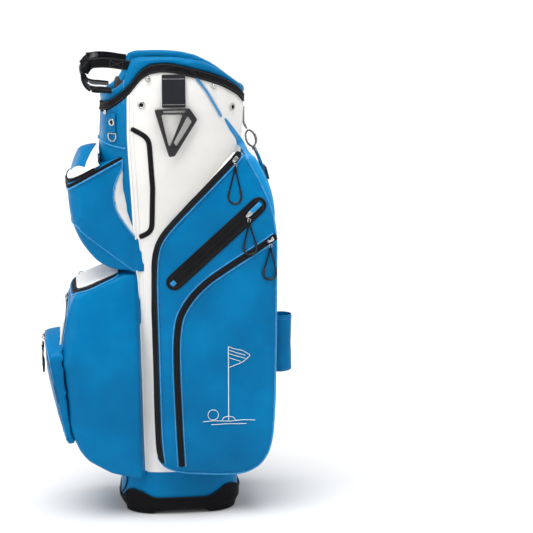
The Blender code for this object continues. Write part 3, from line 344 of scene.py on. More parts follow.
# ---------------------------------------------------------------- geometry helpers
def add(name, verts, faces, mat, body="bag", slot=None, smooth=True, angle=40, replaces=(), uv=None, recalc=True):
    me = bpy.data.meshes.new(name)
    me.from_pydata([tuple(v) for v in verts], [], [tuple(f) for f in faces])
    if uv is not None:
        layer = me.uv_layers.new(name="flat")
        for lp in me.loops:
            layer.data[lp.index].uv = uv[lp.vertex_index]
    if recalc:
        bm = bmesh.new()
        bm.from_mesh(me)
        bmesh.ops.recalc_face_normals(bm, faces=bm.faces)
        bm.to_mesh(me)
        bm.free()
    mats = mat if isinstance(mat, (list, tuple)) else [mat]
    for m in mats:
        me.materials.append(m)
    if smooth:
        me.shade_smooth()
        if angle:
            me.set_sharp_from_angle(angle=math.radians(angle))
    ob = bpy.data.objects.new(name, me)
    scene.collection.objects.link(ob)
    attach(ob, body)
    if replaces:
        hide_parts(*replaces)
    return ob


class Soup:
    """Several shapes gathered into one mesh."""

    def __init__(self):
        self.v, self.f = [], []

    def put(self, shape):
        k = len(self.v)
        self.v += [tuple(p) for p in shape[0]]
        self.f += [tuple(i + k for i in f) for f in shape[1]]
        return self


def table(rows, t):
    a = np.array(rows, float)
    return [float(np.interp(t, a[:, 0], a[:, k])) for k in range(1, a.shape[1])]


def smooth_line(rows, t):
    a = np.array(rows, float)
    x, y = a[:, 0], a[:, 1]
    t = min(max(t, x[0]), x[-1])
    h = np.diff(x)
    d = np.diff(y) / h
    m = np.zeros(len(x))
    m[0], m[-1] = d[0], d[-1]
    for i in range(1, len(x) - 1):
        m[i] = 0.0 if d[i - 1] * d[i] <= 0 else 2 * d[i - 1] * d[i] / (d[i - 1] + d[i])
    i = int(min(max(np.searchsorted(x, t) - 1, 0), len(h) - 1))
    s = (t - x[i]) / h[i]
    return float((1 + 2 * s) * (1 - s) ** 2 * y[i] + s * (1 - s) ** 2 * h[i] * m[i]
                 + s * s * (3 - 2 * s) * y[i + 1] + s * s * (s - 1) * h[i] * m[i + 1])


def spow(v, p):
    return math.copysign(abs(v) ** p, v)


BODY = [(0.000, -0.1140, 0.1180, 0.0890, 3.0), (0.085, -0.1140, 0.1180, 0.0895, 3.0), (0.300, -0.1120, 0.1200, 0.0930, 2.9),
        (0.500, -0.1100, 0.1210, 0.0960, 2.8), (0.560, -0.1200, 0.1220, 0.0975, 2.8), (0.660, -0.1420, 0.1240, 0.1010, 2.7),
        (0.716, -0.1475, 0.1270, 0.1040, 2.7), (0.800, -0.1425, 0.1325, 0.1085, 2.6), (0.840, -0.1375, 0.1335, 0.1100, 2.6),
        (0.880, -0.1330, 0.1300, 0.1080, 2.6), (0.910, -0.1300, 0.1270, 0.1040, 2.6)]
BAND_LINE = [(-0.1440, 0.8000), (-0.1300, 0.8070), (-0.0940, 0.8360), (-0.0640, 0.8700), (-0.0450, 0.8785),
             (-0.0260, 0.8800), (0.0250, 0.8705), (0.0745, 0.8560), (0.1100, 0.8370), (0.1340, 0.8130)]
CREST_LINE = [(-0.1440, 0.8330), (-0.1250, 0.8400), (-0.1020, 0.8600), (-0.0900, 0.8960), (-0.0780, 0.8995),
              (-0.0135, 0.8990), (0.0446, 0.8915), (0.0756, 0.8795), (0.0966, 0.8665), (0.1129, 0.8545), (0.1340, 0.8420)]
BAND_H, FRONT_TILT, UPPER_HALF, BALL_HALF = 0.016, 0.193, 0.0875, 0.1040


def body_point(ang, z, inset=0.0):
    yf, yb, a, n = table(BODY, z)
    b, cy = (yb - yf) / 2, (yb + yf) / 2
    c, s = math.cos(ang), math.sin(ang)
    x, y = a * spow(c, 2 / n), b * spow(s, 2 / n)
    nx, ny = spow(x / a, n - 1) / a, spow(y / b, n - 1) / b
    q = math.hypot(nx, ny)
    return Vector((x - inset * nx / q, cy + y - inset * ny / q, z))


def even_angles(n, z=0.6):
    dense = [2 * math.pi * k / 2000 for k in range(2001)]
    pts = [body_point(t, z) for t in dense]
    run = [0.0]
    for p, q in zip(pts, pts[1:]):
        run.append(run[-1] + (q - p).length)
    return [float(np.interp(run[-1] * k / n, run, dense)) for k in range(n)]


RN = 168
ANG = even_angles(RN)


def angle_at(y, z, side=1, lo=None):
    """Turn angle on one side of the bag where the depth is y."""
    a, b = -math.pi / 2, math.pi / 2
    for _ in range(50):
        m = (a + b) / 2
        if body_point(m, z).y < y:
            a = m
        else:
            b = m
    m = (a + b) / 2
    return m if side > 0 else math.pi - m


def front_angle(x, z):
    a, b = -math.pi, 0.0
    for _ in range(50):
        m = (a + b) / 2
        if body_point(m, z).x < x:
            a = m
        else:
            b = m
    return (a + b) / 2


def on_body(ang, z, offset=0.0):
    p = body_point(ang, z)
    n = (p - body_point(ang, z, 0.001)).normalized()
    return p + n * offset, n


def band_mid(y):
    return smooth_line(BAND_LINE, y)


def crest(y):
    return smooth_line(CREST_LINE, y)


def column(t, z_from_y, inset=0.0):
    z = 0.83
    for _ in range(14):
        z = 0.5 * z + 0.5 * z_from_y(body_point(t, z).y)
    return body_point(t, z, inset)


def loft(rings, cap=True, closed=True):
    n = len(rings[0])
    verts = [p for r in rings for p in r]
    faces = []
    for k in range(len(rings) - 1):
        for i in range(n if closed else n - 1):
            j = (i + 1) % n
            faces.append((k * n + i, k * n + j, (k + 1) * n + j, (k + 1) * n + i))
    if cap and closed:
        faces.append(tuple(range(n))[::-1])
        faces.append(tuple((len(rings) - 1) * n + i for i in range(n)))
    return verts, faces


def wrap(rings):
    n, m = len(rings[0]), len(rings)
    return ([p for r in rings for p in r],
            [(k * n + i, k * n + (i + 1) % n, ((k + 1) % m) * n + (i + 1) % n, ((k + 1) % m) * n + i)
             for k in range(m) for i in range(n)])


def frame_from(origin, x_axis, y_axis):
    x = Vector(x_axis).normalized()
    z = x.cross(Vector(y_axis)).normalized()
    m = Matrix((x, z.cross(x), z)).transposed().to_4x4()
    m.translation = Vector(origin)
    return m


def place(shape, m):
    return [m @ Vector(v) for v in shape[0]], shape[1]


def resample(points, step=None, n=None, closed=False):
    """Points at even steps along a polyline."""
    p = np.array([tuple(q) for q in points], float)
    if closed:
        p = np.vstack([p, p[:1]])
    seg = np.linalg.norm(np.diff(p, axis=0), axis=1)
    run = np.concatenate([[0], np.cumsum(seg)])
    if n is None:
        n = max(2, int(round(run[-1] / step)) + (0 if closed else 1))
    s = np.linspace(0, run[-1], n + 1)[:-1] if closed else np.linspace(0, run[-1], n)
    return [Vector([float(np.interp(v, run, p[:, j])) for j in range(p.shape[1])]) for v in s]


def spline(points, step=0.004, closed=False, n=None):
    """A smooth curve through the points, read at even steps."""
    p = [np.array(tuple(q), float) for q in points]
    m = len(p)
    dense = []
    if closed:
        quads = [(p[i - 1], p[i], p[(i + 1) % m], p[(i + 2) % m]) for i in range(m)]
    else:
        e = [2 * p[0] - p[1]] + p + [2 * p[-1] - p[-2]]
        quads = [(e[i - 1], e[i], e[i + 1], e[i + 2]) for i in range(1, m)]
    for a, b, c, d in quads:
        for k in range(14):
            t = k / 14
            dense.append(0.5 * ((2 * b) + (c - a) * t + (2 * a - 5 * b + 4 * c - d) * t * t
                                + (3 * b - a - 3 * c + d) * t ** 3))
    if not closed:
        dense.append(p[-1])
    return resample(dense, step, n, closed)


def rounded(points, radius, steps=6):
    out = []
    n = len(points)
    for i in range(n):
        p0, p1, p2 = (np.array(points[i - 1], float), np.array(points[i], float), np.array(points[(i + 1) % n], float))
        d0, d2 = p0 - p1, p2 - p1
        l0, l2 = np.linalg.norm(d0), np.linalg.norm(d2)
        d0, d2 = d0 / l0, d2 / l2
        ang = math.acos(max(-1, min(1, float(d0 @ d2))))
        r = radius[i] if isinstance(radius, (list, tuple)) else radius
        cl = min(r / math.tan(ang / 2), 0.45 * l0, 0.45 * l2)
        a, b = p1 + d0 * cl, p1 + d2 * cl
        for k in range(steps + 1):
            t = k / steps
            out.append(tuple((1 - t) ** 2 * a + 2 * t * (1 - t) * p1 + t * t * b))
    return out


def tangents(pts, closed=False):
    n = len(pts)
    out = []
    for i in range(n):
        a = pts[i - 1] if (closed or i > 0) else pts[i]
        b = pts[(i + 1) % n] if (closed or i < n - 1) else pts[i]
        out.append((b - a).normalized())
    return out


def tube(points, radius, sides=8, closed=False, taper=True):
    """A round cord; its ends are closed domes."""
    pts = [Vector(p) for p in points]
    tg = tangents(pts, closed)
    prev = None
    rings = []
    n = len(pts)
    for i, (p, t) in enumerate(zip(pts, tg)):
        if prev is None:
            ref = Vector((1, 0, 0)) if abs(t.x) < 0.8 else Vector((0, 1, 0))
            u = t.cross(ref).normalized()
        else:
            u = prev - t * prev.dot(t)
            u = u.normalized() if u.length > 1e-9 else t.cross(Vector((0, 0, 1))).normalized()
        prev = u
        v = t.cross(u)
        r = radius[i] if isinstance(radius, (list, tuple)) else radius
        rings.append([p + (u * math.cos(2 * math.pi * k / sides) + v * math.sin(2 * math.pi * k / sides)) * r
                      for k in range(sides)])
    if closed:
        # undo the twist that a closed path gathers
        return wrap_twisted(rings)
    if taper:
        def dome(ring, p, t):
            return [[p + (q - p) * s + t * h for q in ring] for s, h in ((0.80, 0.45), (0.40, 0.82))]
        r0 = radius[0] if isinstance(radius, (list, tuple)) else radius
        r1 = radius[-1] if isinstance(radius, (list, tuple)) else radius
        a = [[pts[0] + (q - pts[0]) * s - tg[0] * (h * r0) for q in rings[0]] for s, h in ((0.4, 0.85), (0.8, 0.5))]
        b = [[pts[-1] + (q - pts[-1]) * s + tg[-1] * (h * r1) for q in rings[-1]] for s, h in ((0.8, 0.5), (0.4, 0.85))]
        rings = a + rings + b
    return loft(rings)


def wrap_twisted(rings):
    n, m = len(rings[0]), len(rings)
    best = min(range(n), key=lambda s: (rings[-1][0] - rings[0][s]).length)
    verts = [p for r in rings for p in r]
    faces = []
    for k in range(m - 1):
        for i in range(n):
            j = (i + 1) % n
            faces.append((k * n + i, k * n + j, (k + 1) * n + j, (k + 1) * n + i))
    for i in range(n):
        j = (i + 1) % n
        faces.append(((m - 1) * n + i, (m - 1) * n + j, (j + best) % n, (i + best) % n))
    return verts, faces


def ribbon(points, normals, widths, profile, closed=False, shift=0.0):
    """A band along a path: profile is (share of half width, height) across its top, closed underneath."""
    pts = [Vector(p) for p in points]
    tg = tangents(pts, closed)
    rings = []
    for i, (p, t, nn) in enumerate(zip(pts, tg, normals)):
        nn = (nn - t * nn.dot(t)).normalized()
        w = nn.cross(t).normalized()
        hw = (widths[i] if isinstance(widths, (list, tuple)) else widths) / 2
        rings.append([p + w * (hw * a + shift) + nn * h for a, h in profile])
    return wrap(rings) if closed else loft(rings)


class Skin:
    """Looks points up on a finished mesh, so that piping, tape and thread lie on the fabric."""

    def __init__(self, *objs):
        vs, fs = [], []
        for o in objs:
            k = len(vs)
            vs += [o.matrix_world @ v.co for v in o.data.vertices]
            fs += [[i + k for i in p.vertices] for p in o.data.polygons]
        self.t = BVHTree.FromPolygons([tuple(v) for v in vs], fs)

    def hit(self, p, direction, reach=0.06):
        """First surface met from outside, looking along -direction."""
        d = Vector(direction).normalized()
        loc, nrm, idx, dist = self.t.ray_cast(Vector(p) + d * reach, -d, reach * 2)
        if loc is None:
            loc, nrm, idx, dist = self.t.find_nearest(Vector(p))
        if nrm.dot(d) < 0:
            nrm = -nrm
        return loc, nrm

    def near(self, p, out=None):
        loc, nrm, idx, dist = self.t.find_nearest(Vector(p))
        if out is not None and nrm.dot(Vector(out)) < 0:
            nrm = -nrm
        return loc, nrm


def smooth_list(vecs, rounds=2, closed=False):
    v = [Vector(x) for x in vecs]
    for _ in range(rounds):
        w = []
        for i in range(len(v)):
            a = v[i - 1] if (closed or i > 0) else v[i]
            b = v[(i + 1) % len(v)] if (closed or i < len(v) - 1) else v[i]
            w.append(a * 0.25 + v[i] * 0.5 + b * 0.25)
        v = w
    return v


def lay(skin, path, direction, offset=0.0, rounds=2, closed=False, reach=0.06):
    """A path dropped onto a skin: points and normals."""
    P, N = [], []
    for i, p in enumerate(path):
        d = direction[i] if isinstance(direction, list) else direction
        loc, nrm = skin.hit(p, d, reach)
        P.append(loc)
        N.append(nrm)
    P, N = smooth_list(P, rounds, closed), [n.normalized() for n in smooth_list(N, rounds + 3, closed)]
    return [p + n * offset for p, n in zip(P, N)], N


TAPE = [(-1.0, -0.0006), (-1.0, 0.0004), (-0.62, 0.0008), (-0.34, 0.0010), (-0.30, 0.0017), (-0.05, 0.0019), (-0.03, 0.0011),
        (0.03, 0.0011), (0.05, 0.0019), (0.30, 0.0017), (0.34, 0.0010), (0.62, 0.0008), (1.0, 0.0004), (1.0, -0.0006)]
FLAT = [(-1.0, -0.0006), (-1.0, 0.0005), (-0.8, 0.0009), (0.0, 0.0011), (0.8, 0.0009), (1.0, 0.0005), (1.0, -0.0006)]


def coil_teeth(P, N, half=0.0021, pitch=0.0016, height=0.0017, closed=False):
    """The fine cross ribs of a reverse-coil zip, either side of its middle line."""
    s = Soup()
    pts = resample(P, pitch)
    run = np.array([tuple(p) for p in P])
    for i, p in enumerate(pts):
        t = (pts[min(i + 1, len(pts) - 1)] - pts[max(i - 1, 0)]).normalized()
        k = int(np.argmin(((run - np.array(tuple(p))) ** 2).sum(1)))
        n = (N[k] - t * N[k].dot(t)).normalized()
        w = n.cross(t)
        for sd in (-1, 1):
            a, b = sd * 0.00025, sd * half
            l = pitch * 0.36
            h0, h1 = height - 0.0004, height + 0.00035
            q = [p + w * a - t * l + n * h0, p + w * b - t * l + n * h0, p + w * b + t * l + n * h0, p + w * a + t * l + n * h0,
                 p + w * a * 2 - t * l * 0.5 + n * h1, p + w * b * 0.85 - t * l * 0.5 + n * h1,
                 p + w * b * 0.85 + t * l * 0.5 + n * h1, p + w * a * 2 + t * l * 0.5 + n * h1]
            s.put((q, [(0, 1, 2, 3), (4, 5, 6, 7), (0, 1, 5, 4), (1, 2, 6, 5), (2, 3, 7, 6), (3, 0, 4, 7)]))
    return s.v, s.f


def stitches(P, N, side=0.0, length=0.0026, gap=0.0013, r=0.00028, lift=0.0002):
    """A row of sewn stitches beside a path."""
    s = Soup()
    pts = [Vector(p) for p in P]
    tg = tangents(pts)
    line = []
    for p, n, t in zip(pts, N, tg):
        line.append(p + n.cross(t).normalized() * side + n * lift)
    dense = resample(line, (length + gap) / 4)
    ref = np.array([tuple(p) for p in line])
    i = 0
    while i + 3 < len(dense):
        seg = dense[i:i + 4]
        k = int(np.argmin(((ref - np.array(tuple(seg[1]))) ** 2).sum(1)))
        n = N[min(k, len(N) - 1)]
        a, b = seg[0], seg[0].lerp(seg[3], length / (length + gap) * 4 / 3 if False else 0.92)
        t = (b - a).normalized()
        w = n.cross(t).normalized()
        rings = []
        for f, h, q in ((0.0, -0.0003, 0.5), (0.18, 0.0002, 1.0), (0.82, 0.0002, 1.0), (1.0, -0.0003, 0.5)):
            c = a.lerp(b, f) + n * h
            rings.append([c + w * (r * q * x) + n * (r * q * y) for x, y in ((1, 0), (0, 1), (-1, 0), (0, -1))])
        s.put(loft(rings))
        i += 4
    return s.v, s.f


def lathe(profile, origin, normal, sides=36, hole=False):
    nrm = Vector(normal).normalized()
    u = nrm.cross(Vector((0, 0, 1)))
    u = u.normalized() if u.length > 1e-6 else Vector((1, 0, 0))
    v = nrm.cross(u)
    rings = [[Vector(origin) + nrm * h + (u * math.cos(2 * math.pi * k / sides) + v * math.sin(2 * math.pi * k / sides)) * r
              for k in range(sides)] for r, h in profile]
    return wrap(rings) if hole else loft(rings)


def slab(outline, m, z0, z1, bevel=0.0006, steps=3, dome=0.0):
    """A flat outline with thickness and rounded edges, placed by m. The outline is local (x, y)."""
    o = [np.array(p, float) for p in outline]
    n = len(o)
    area2 = sum(o[i][0] * o[(i + 1) % n][1] - o[(i + 1) % n][0] * o[i][1] for i in range(n))
    sgn = 1 if area2 > 0 else -1

    def inset(d):
        out = []
        for i in range(n):
            t = o[(i + 1) % n] - o[i - 1]
            t = t / (np.linalg.norm(t) + 1e-12)
            out.append(o[i] + np.array([-t[1], t[0]]) * d * sgn)
        return out
    rings = []
    lows = [(bevel * (1 - math.sin(a)), z0 + bevel * (1 - math.cos(a))) for a in [math.pi / 2 * k / steps for k in range(steps + 1)]]
    highs = [(d, z1 - (z - z0)) for d, z in reversed(lows)]
    for d, z in lows + highs:
        rings.append([m @ Vector((p[0], p[1], z)) for p in inset(d)])
    return loft(rings)


def remeshed(name, node, voxel):
    """A copy of a CAD solid rebuilt as an even, all-quad mesh, ready for the cloth solver."""
    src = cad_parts[node]
    me = src.data.copy()
    me.materials.clear()
    ob = bpy.data.objects.new(name, me)
    scene.collection.objects.link(ob)
    md = ob.modifiers.new("remesh", "REMESH")
    md.mode = "VOXEL"
    md.voxel_size = voxel
    md.adaptivity = 0.0
    sm = ob.modifiers.new("smooth", "SMOOTH")
    sm.factor = 0.5
    sm.iterations = 3
    apply_mods(ob)
    return ob


def apply_mods(ob):
    dg = bpy.context.evaluated_depsgraph_get()
    dg.update()
    me = bpy.data.meshes.new_from_object(ob.evaluated_get(dg), preserve_all_data_layers=True, depsgraph=dg)
    ob.modifiers.clear()
    old = ob.data
    ob.data = me
    bpy.data.meshes.remove(old)


def inflate(ob, cap, pressure=4.0, pin=None, frames=20, grow=0.0):
    """Cloth simulation of a padded piece: it swells against its seams, and no point moves further than cap."""
    co0 = np.empty(len(ob.data.vertices) * 3)
    ob.data.vertices.foreach_get("co", co0)
    co0 = co0.reshape(-1, 3)
    grp = ob.vertex_groups.new(name="pin")
    weights = np.zeros(len(co0))
    for i, c in enumerate(co0):
        w = pin(c) if pin else 0.0
        weights[i] = w
        if w > 0:
            grp.add([i], float(w), "REPLACE")
    md = ob.modifiers.new("cloth", "CLOTH")
    st = md.settings
    st.quality = 5
    st.mass = 0.25
    st.tension_stiffness = 28
    st.compression_stiffness = 18
    st.shear_stiffness = 12
    st.bending_stiffness = 1.2
    st.tension_damping = 12
    st.air_damping = 3
    st.use_pressure = True
    st.uniform_pressure_force = pressure
    st.effector_weights.gravity = 0.0
    st.vertex_group_mass = "pin"
    st.shrink_min = -0.004
    md.point_cache.frame_start = 1
    md.point_cache.frame_end = frames
    for fr in range(1, frames + 1):
        scene.frame_set(fr)
    dg = bpy.context.evaluated_depsgraph_get()
    ev = ob.evaluated_get(dg)
    co1 = np.empty(len(co0) * 3)
    ev.data.vertices.foreach_get("co", co1)
    co1 = co1.reshape(-1, 3)
    ob.modifiers.clear()
    ob.vertex_groups.clear()
    scene.frame_set(1)
    d = co1 - co0
    ln = np.linalg.norm(d, axis=1)
    ln[ln < 1e-9] = 1e-9
    share = cap * np.tanh(ln / cap) / ln
    co0 = co0 + d * share[:, None]
    ob.data.vertices.foreach_set("co", co0.ravel())
    ob.data.update()
    return ob


def puckers(ob, amount=0.0008, scale=28.0, seed=0.0):
    """Slow unevenness of sewn fabric, along the normals."""
    for v in ob.data.vertices:
        n = mnoise.noise(Vector(v.co) * scale + Vector((seed, seed * 1.7, 0)))
        n2 = mnoise.noise(Vector(v.co) * scale * 2.6 + Vector((seed * 2.1, 3.0, seed)))
        v.co += v.normal * (amount * n + amount * 0.35 * n2)
    ob.data.update()


def subdivide(ob, levels=1):
    md = ob.modifiers.new("sub", "SUBSURF")
    md.levels = levels
    md.render_levels = levels
    apply_mods(ob)


def finish_soft(ob, mats, body, node, pick=None):
    me = ob.data
    me.materials.clear()
    for m in mats:
        me.materials.append(m)
    if pick:
        for p in me.polygons:
            p.material_index = pick(p.center, p.normal)
    me.shade_smooth()
    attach(ob, body)
    if node:
        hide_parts(node)
    return ob


# ---------------------------------------------------------------- moulded base and body fabric
def base_top(t):
    """Top edge of the moulding: low in the middle of each side, high at the four corners."""
    p = body_point(t, 0.05)
    corner = min(1.0, max(0.0, (abs(p.x) / 0.089 - 0.35) / 0.5)) * min(1.0, max(0.0, (abs(p.y) / 0.114 - 0.40) / 0.5))
    low = 0.025 if p.y < -0.08 else (0.040 if p.y > 0.08 else 0.036)
    s = corner * corner * (3 - 2 * corner)
    return low + (0.058 - low) * s


def base_low(t):
    p = body_point(t, 0.02)
    a = min(1.0, max(0.0, (abs(p.x) - 0.040) / 0.006)) * min(1.0, max(0.0, (abs(p.y) - 0.050) / 0.006))
    return 0.0085 * (1 - a)


BASE_PROFILE = [(0.030, "z", 0.0110), (0.0180, "z", 0.0100), (0.0150, "l", 0.0008), (0.0130, "l", 0.0), (0.0070, "l", 0.0),
                (0.0035, "l", 0.0012), (0.0010, "z", 0.0120), (-0.0016, "z", 0.0165), (-0.0030, "z", 0.0200),
                (-0.0034, "z", 0.0225), (-0.0034, "t", -0.0040), (-0.0044, "t", -0.0030), (-0.0046, "t", -0.0012),
                (-0.0040, "t", -0.0002), (-0.0026, "t", 0.0), (-0.0014, "t", -0.0006), (-0.0006, "t", -0.0030), (0.0002, "z", 0.0215)]
rings = []
for inset, kind, z in BASE_PROFILE:
    row = []
    for t in ANG:
        p = body_point(t, 0.03, inset)
        zz = z if kind == "z" else (base_low(t) + z if kind == "l" else base_top(t) + z)
        row.append(Vector((p.x, p.y, max(zz, 0.0))))
    rings.append(row)
base_v = add("base_moulding", *loft(rings), M_BASE, slot="black_plastic", replaces=("base",), angle=50)
# centre boss and moulded ribs under the tray
s = Soup()
s.put(lathe([(0.0300, 0.0), (0.0300, -0.0060), (0.0285, -0.0078), (0.0200, -0.0082), (0.0180, -0.0060), (0.0060, -0.0060),
             (0.0050, -0.0020)], (0, 0, 0.0112), (0, 0, 1)))
for k in range(8):
    a = math.pi / 4 * k + 0.2
    m = frame_from((0.052 * math.cos(a), 0.058 * math.sin(a), 0.0106), (math.cos(a), math.sin(a), 0), (-math.sin(a), math.cos(a), 0))
    s.put(slab([(-0.020, -0.0012), (0.020, -0.0012), (0.020, 0.0012), (-0.020, 0.0012)], m, -0.0035, 0.0010, 0.0004, 2))
add("base_ribs", *(s.v, s.f), M_BASE, slot="black_plastic")


def collar_low_edge(y):
    return band_mid(y) - BAND_H / 2 - 0.0012


# one continuous fabric wall from the base to the webbing band, with its dark lining inside
levels = [0.0222, 0.036, 0.050, 0.064, 0.078, 0.0875] + [0.0875 + (0.700 - 0.0875) * k / 62 for k in range(1, 63)] \
    + [0.700 + 0.07 * k / 8 for k in range(1, 9)]
out_rings, in_rings = [], []
for z in levels:
    out_rings.append([body_point(t, z, 0.0) for t in ANG])
    in_rings.append([body_point(t, z, 0.0034) for t in ANG])
for f in (0.25, 0.5, 0.75, 1.0):
    row, row2 = [], []
    for t in ANG:
        a, b = body_point(t, 0.77), column(t, collar_low_edge)
        z = a.z + (b.z - a.z) * f
        row.append(body_point(t, z, 0.0))
        row2.append(body_point(t, z, 0.0040))
    out_rings.append(row)
    in_rings.append(row2)
# slow unevenness of the stretched fabric
for ring in out_rings[3:]:
    for p in ring:
        k = mnoise.noise(Vector((p.x * 16, p.y * 16, p.z * 9))) + 0.5 * mnoise.noise(Vector((p.x * 40, p.y * 40, p.z * 26)))
        d = Vector((p.x, p.y, 0)).normalized()
        p += d * (0.0009 * k)
FRONT_Z = [0.090, 0.220, 0.360, 0.470, 0.500, 0.620, 0.734, 0.780, 0.829]
FRONT_Y = [-0.0705, -0.0730, -0.0760, -0.0782, -0.0800, -0.0865, -0.0927, -0.0930, -0.0925]
body_v = add("body_fabric", *wrap(out_rings + in_rings[::-1]), [M_WHITE, M_BLUE, M_LINING], slot="white_pu",
             replaces=("body_shell", "collar_shell"), angle=0)
inner_ids = len(out_rings) * RN
for p in body_v.data.polygons:
    inside = sum(1 for i in p.vertices if i >= inner_ids) >= 3
    c = p.center
    if inside:
        p.material_index = 2
    elif c.z < 0.0880:
        p.material_index = 1
    elif c.y < float(np.interp(c.z, FRONT_Z, FRONT_Y)) + 0.0028:
        p.material_index = 1
    else:
        p.material_index = 0
body_v.data.update()
body_skin = Skin(body_v)


def ring_path(z, offset, y0=-1.0, y1=1.0, xs=0, zf=None, count=240):
    out = []
    for t in even_angles(count):
        zz = zf(t) if zf else z
        p, n = on_body(t, zz, offset)
        if y0 <= p.y <= y1 and (xs == 0 or p.x * xs > 0):
            out.append((p, n))
    return out


# half-round patch at the foot of the front, edged in thin piping
half = []
for k in range(41):
    a = math.pi * k / 40
    x, z = 0.0560 * math.cos(a), 0.0735 - 0.0460 * math.sin(a) ** 0.85
    p, n = on_body(front_angle(x, z), z, 0.0016)
    half.append(p)
add("skirt_piping", *tube(half, 0.0013, 8), M_BLACKPU, slot="black_web", angle=0)
half2, hn = [], []
for k in range(41):
    a = math.pi * k / 40
    x, z = 0.0530 * math.cos(a), 0.0735 - 0.0430 * math.sin(a) ** 0.85
    p, n = on_body(front_angle(x, z), z, 0.0)
    half2.append(p)
    hn.append(n)
add("skirt_stitch", *stitches(half2, hn), M_THREAD_B, slot="blue_pu")

# ---------------------------------------------------------------- webbing band and padded rim
b0 = lambda y: band_mid(y) - BAND_H / 2
b1 = lambda y: band_mid(y) + BAND_H / 2
RBIG = even_angles(300, 0.83)
BAND_PROFILE = [(-0.0002, 0.0), (-0.0014, 0.03), (-0.0021, 0.10), (-0.0016, 0.16), (-0.0017, 0.50), (-0.0016, 0.84), (-0.0021, 0.90),
                (-0.0014, 0.97), (-0.0002, 1.0), (0.0040, 1.0), (0.0043, 0.5), (0.0040, 0.0)]
rings = []
for inset, f in BAND_PROFILE:
    rings.append([column(t, lambda y: b0(y) + (b1(y) - b0(y)) * f, inset) for t in RBIG])
band_v = add("band_web", *wrap(rings), M_WEB, slot="black_web", replaces=("collar_band",), angle=60)
s = Soup()
for f in (0.13, 0.87):
    P, N = [], []
    for t in RBIG + RBIG[:1]:
        z_of = lambda y: b0(y) + (b1(y) - b0(y)) * f
        P.append(column(t, z_of, -0.0021))
        N.append((P[-1] - column(t, z_of, 0.004)).normalized())
    s.put(stitches(P, N))
add("band_stitch", s.v, s.f, M_THREAD_K, slot="black_web")

RIM_FINE = [(0.0004, 0.0), (-0.0012, 0.10), (-0.0020, 0.28), (-0.0016, 0.50), (0.0004, 0.70), (0.0042, 0.87), (0.0088, 0.965),
            (0.0132, 1.0), (0.0172, 0.955), (0.0202, 0.80), (0.0212, 0.52), (0.0206, 0.15), (0.0196, -0.25), (0.0130, -0.32),
            (0.0062, -0.10), (0.0050, 0.0)]


def rim_ring(inset, part):
    out = []
    for t in RBIG:
        foot = column(t, lambda y: b1(y) + 0.0010)
        h = crest(foot.y) - foot.z
        z = foot.z + (part * h if part >= 0 else part * 0.02)
        ref = column(t, lambda y: b1(y) + 0.0010, inset)
        out.append(Vector((ref.x, ref.y, z)))
    return out


rim_shape = wrap([rim_ring(d, p) for d, p in RIM_FINE])
rim_v = bpy.data.objects.new("rim_padded", bpy.data.meshes.new("rim_padded"))
rim_v.data.from_pydata([tuple(v) for v in rim_shape[0]], [], rim_shape[1])
scene.collection.objects.link(rim_v)
bmr = bmesh.new()
bmr.from_mesh(rim_v.data)
bmesh.ops.recalc_face_normals(bmr, faces=bmr.faces)
bmr.to_mesh(rim_v.data)
bmr.free()
md = rim_v.modifiers.new("remesh", "REMESH")
md.mode = "VOXEL"
md.voxel_size = 0.0042
sm = rim_v.modifiers.new("smooth", "SMOOTH")
sm.iterations = 4
apply_mods(rim_v)
# the sewn lower edge is held, the padding above it swells
inflate(rim_v, 0.0030, 4.0, pin=lambda c: 1.0 if c[2] < band_mid(c[1]) + BAND_H / 2 + 0.004 else 0.0)
puckers(rim_v, 0.0005, 34.0, 2.0)
subdivide(rim_v)
finish_soft(rim_v, [M_BLUE], "bag", "collar_rim")
rim_skin = Skin(rim_v)

# seams of the rim: one on each front corner where it steps up, one at the back
s, th = Soup(), Soup()
for sx in (-1, 1):
    for y in (-0.0985,):
        P, N = [], []
        t0 = angle_at(y, 0.86, sx)
        foot = column(t0, lambda yy: b1(yy) + 0.001)
        c = foot + Vector((-sx * 0.010, 0, 0))
        h = crest(foot.y) - foot.z
        centre = Vector((foot.x - sx * 0.0095, foot.y, foot.z + h * 0.45))
        for k in range(19):
            a = math.radians(-62 + 200 * k / 18)
            d = Vector((sx * math.cos(a), 0, math.sin(a)))
            loc, nrm = rim_skin.hit(centre + d * 0.03, d, 0.05)
            P.append(loc + nrm * 0.0002)
            N.append(nrm)
        s.put(tube(P, 0.0009, 8))
        th.put(stitches(P, N, 0.0024))
        th.put(stitches(P, N, -0.0024))
P, N = [], []
t0 = math.pi / 2
foot = column(t0, lambda yy: b1(yy) + 0.001)
h = crest(foot.y) - foot.z
for k in range(19):
    a = math.radians(-55 + 200 * k / 18)
    d = Vector((0, math.cos(a), math.sin(a)))
    loc, nrm = rim_skin.hit(Vector((0, foot.y - 0.0095, foot.z + h * 0.45)) + d * 0.03, d, 0.05)
    P.append(loc + nrm * 0.0002)
    N.append(nrm)
s.put(tube(P, 0.0009, 8))
th.put(stitches(P, N, 0.0024))
th.put(stitches(P, N, -0.0024))
add("rim_seams", s.v, s.f, M_BLUE2, slot="blue_pu", angle=0)
add("rim_stitch", th.v, th.f, M_THREAD_B, slot="blue_pu")

# ---------------------------------------------------------------- divider top: fleece with padded rolls round the wells
ROWS = [(-0.105, -0.0585, 3, 0.050), (-0.051, -0.0035, 4, 0.078), (0.004, 0.0515, 4, 0.078), (0.059, 0.0975, 3, 0.056)]
BAR = 0.0075


def divider_z(x, y):
    return 0.857 - max(0.0, abs(x) - 0.034) * 0.72 - 0.10 * max(0.0, y - 0.02) - 0.18 * max(0.0, -0.02 - y)


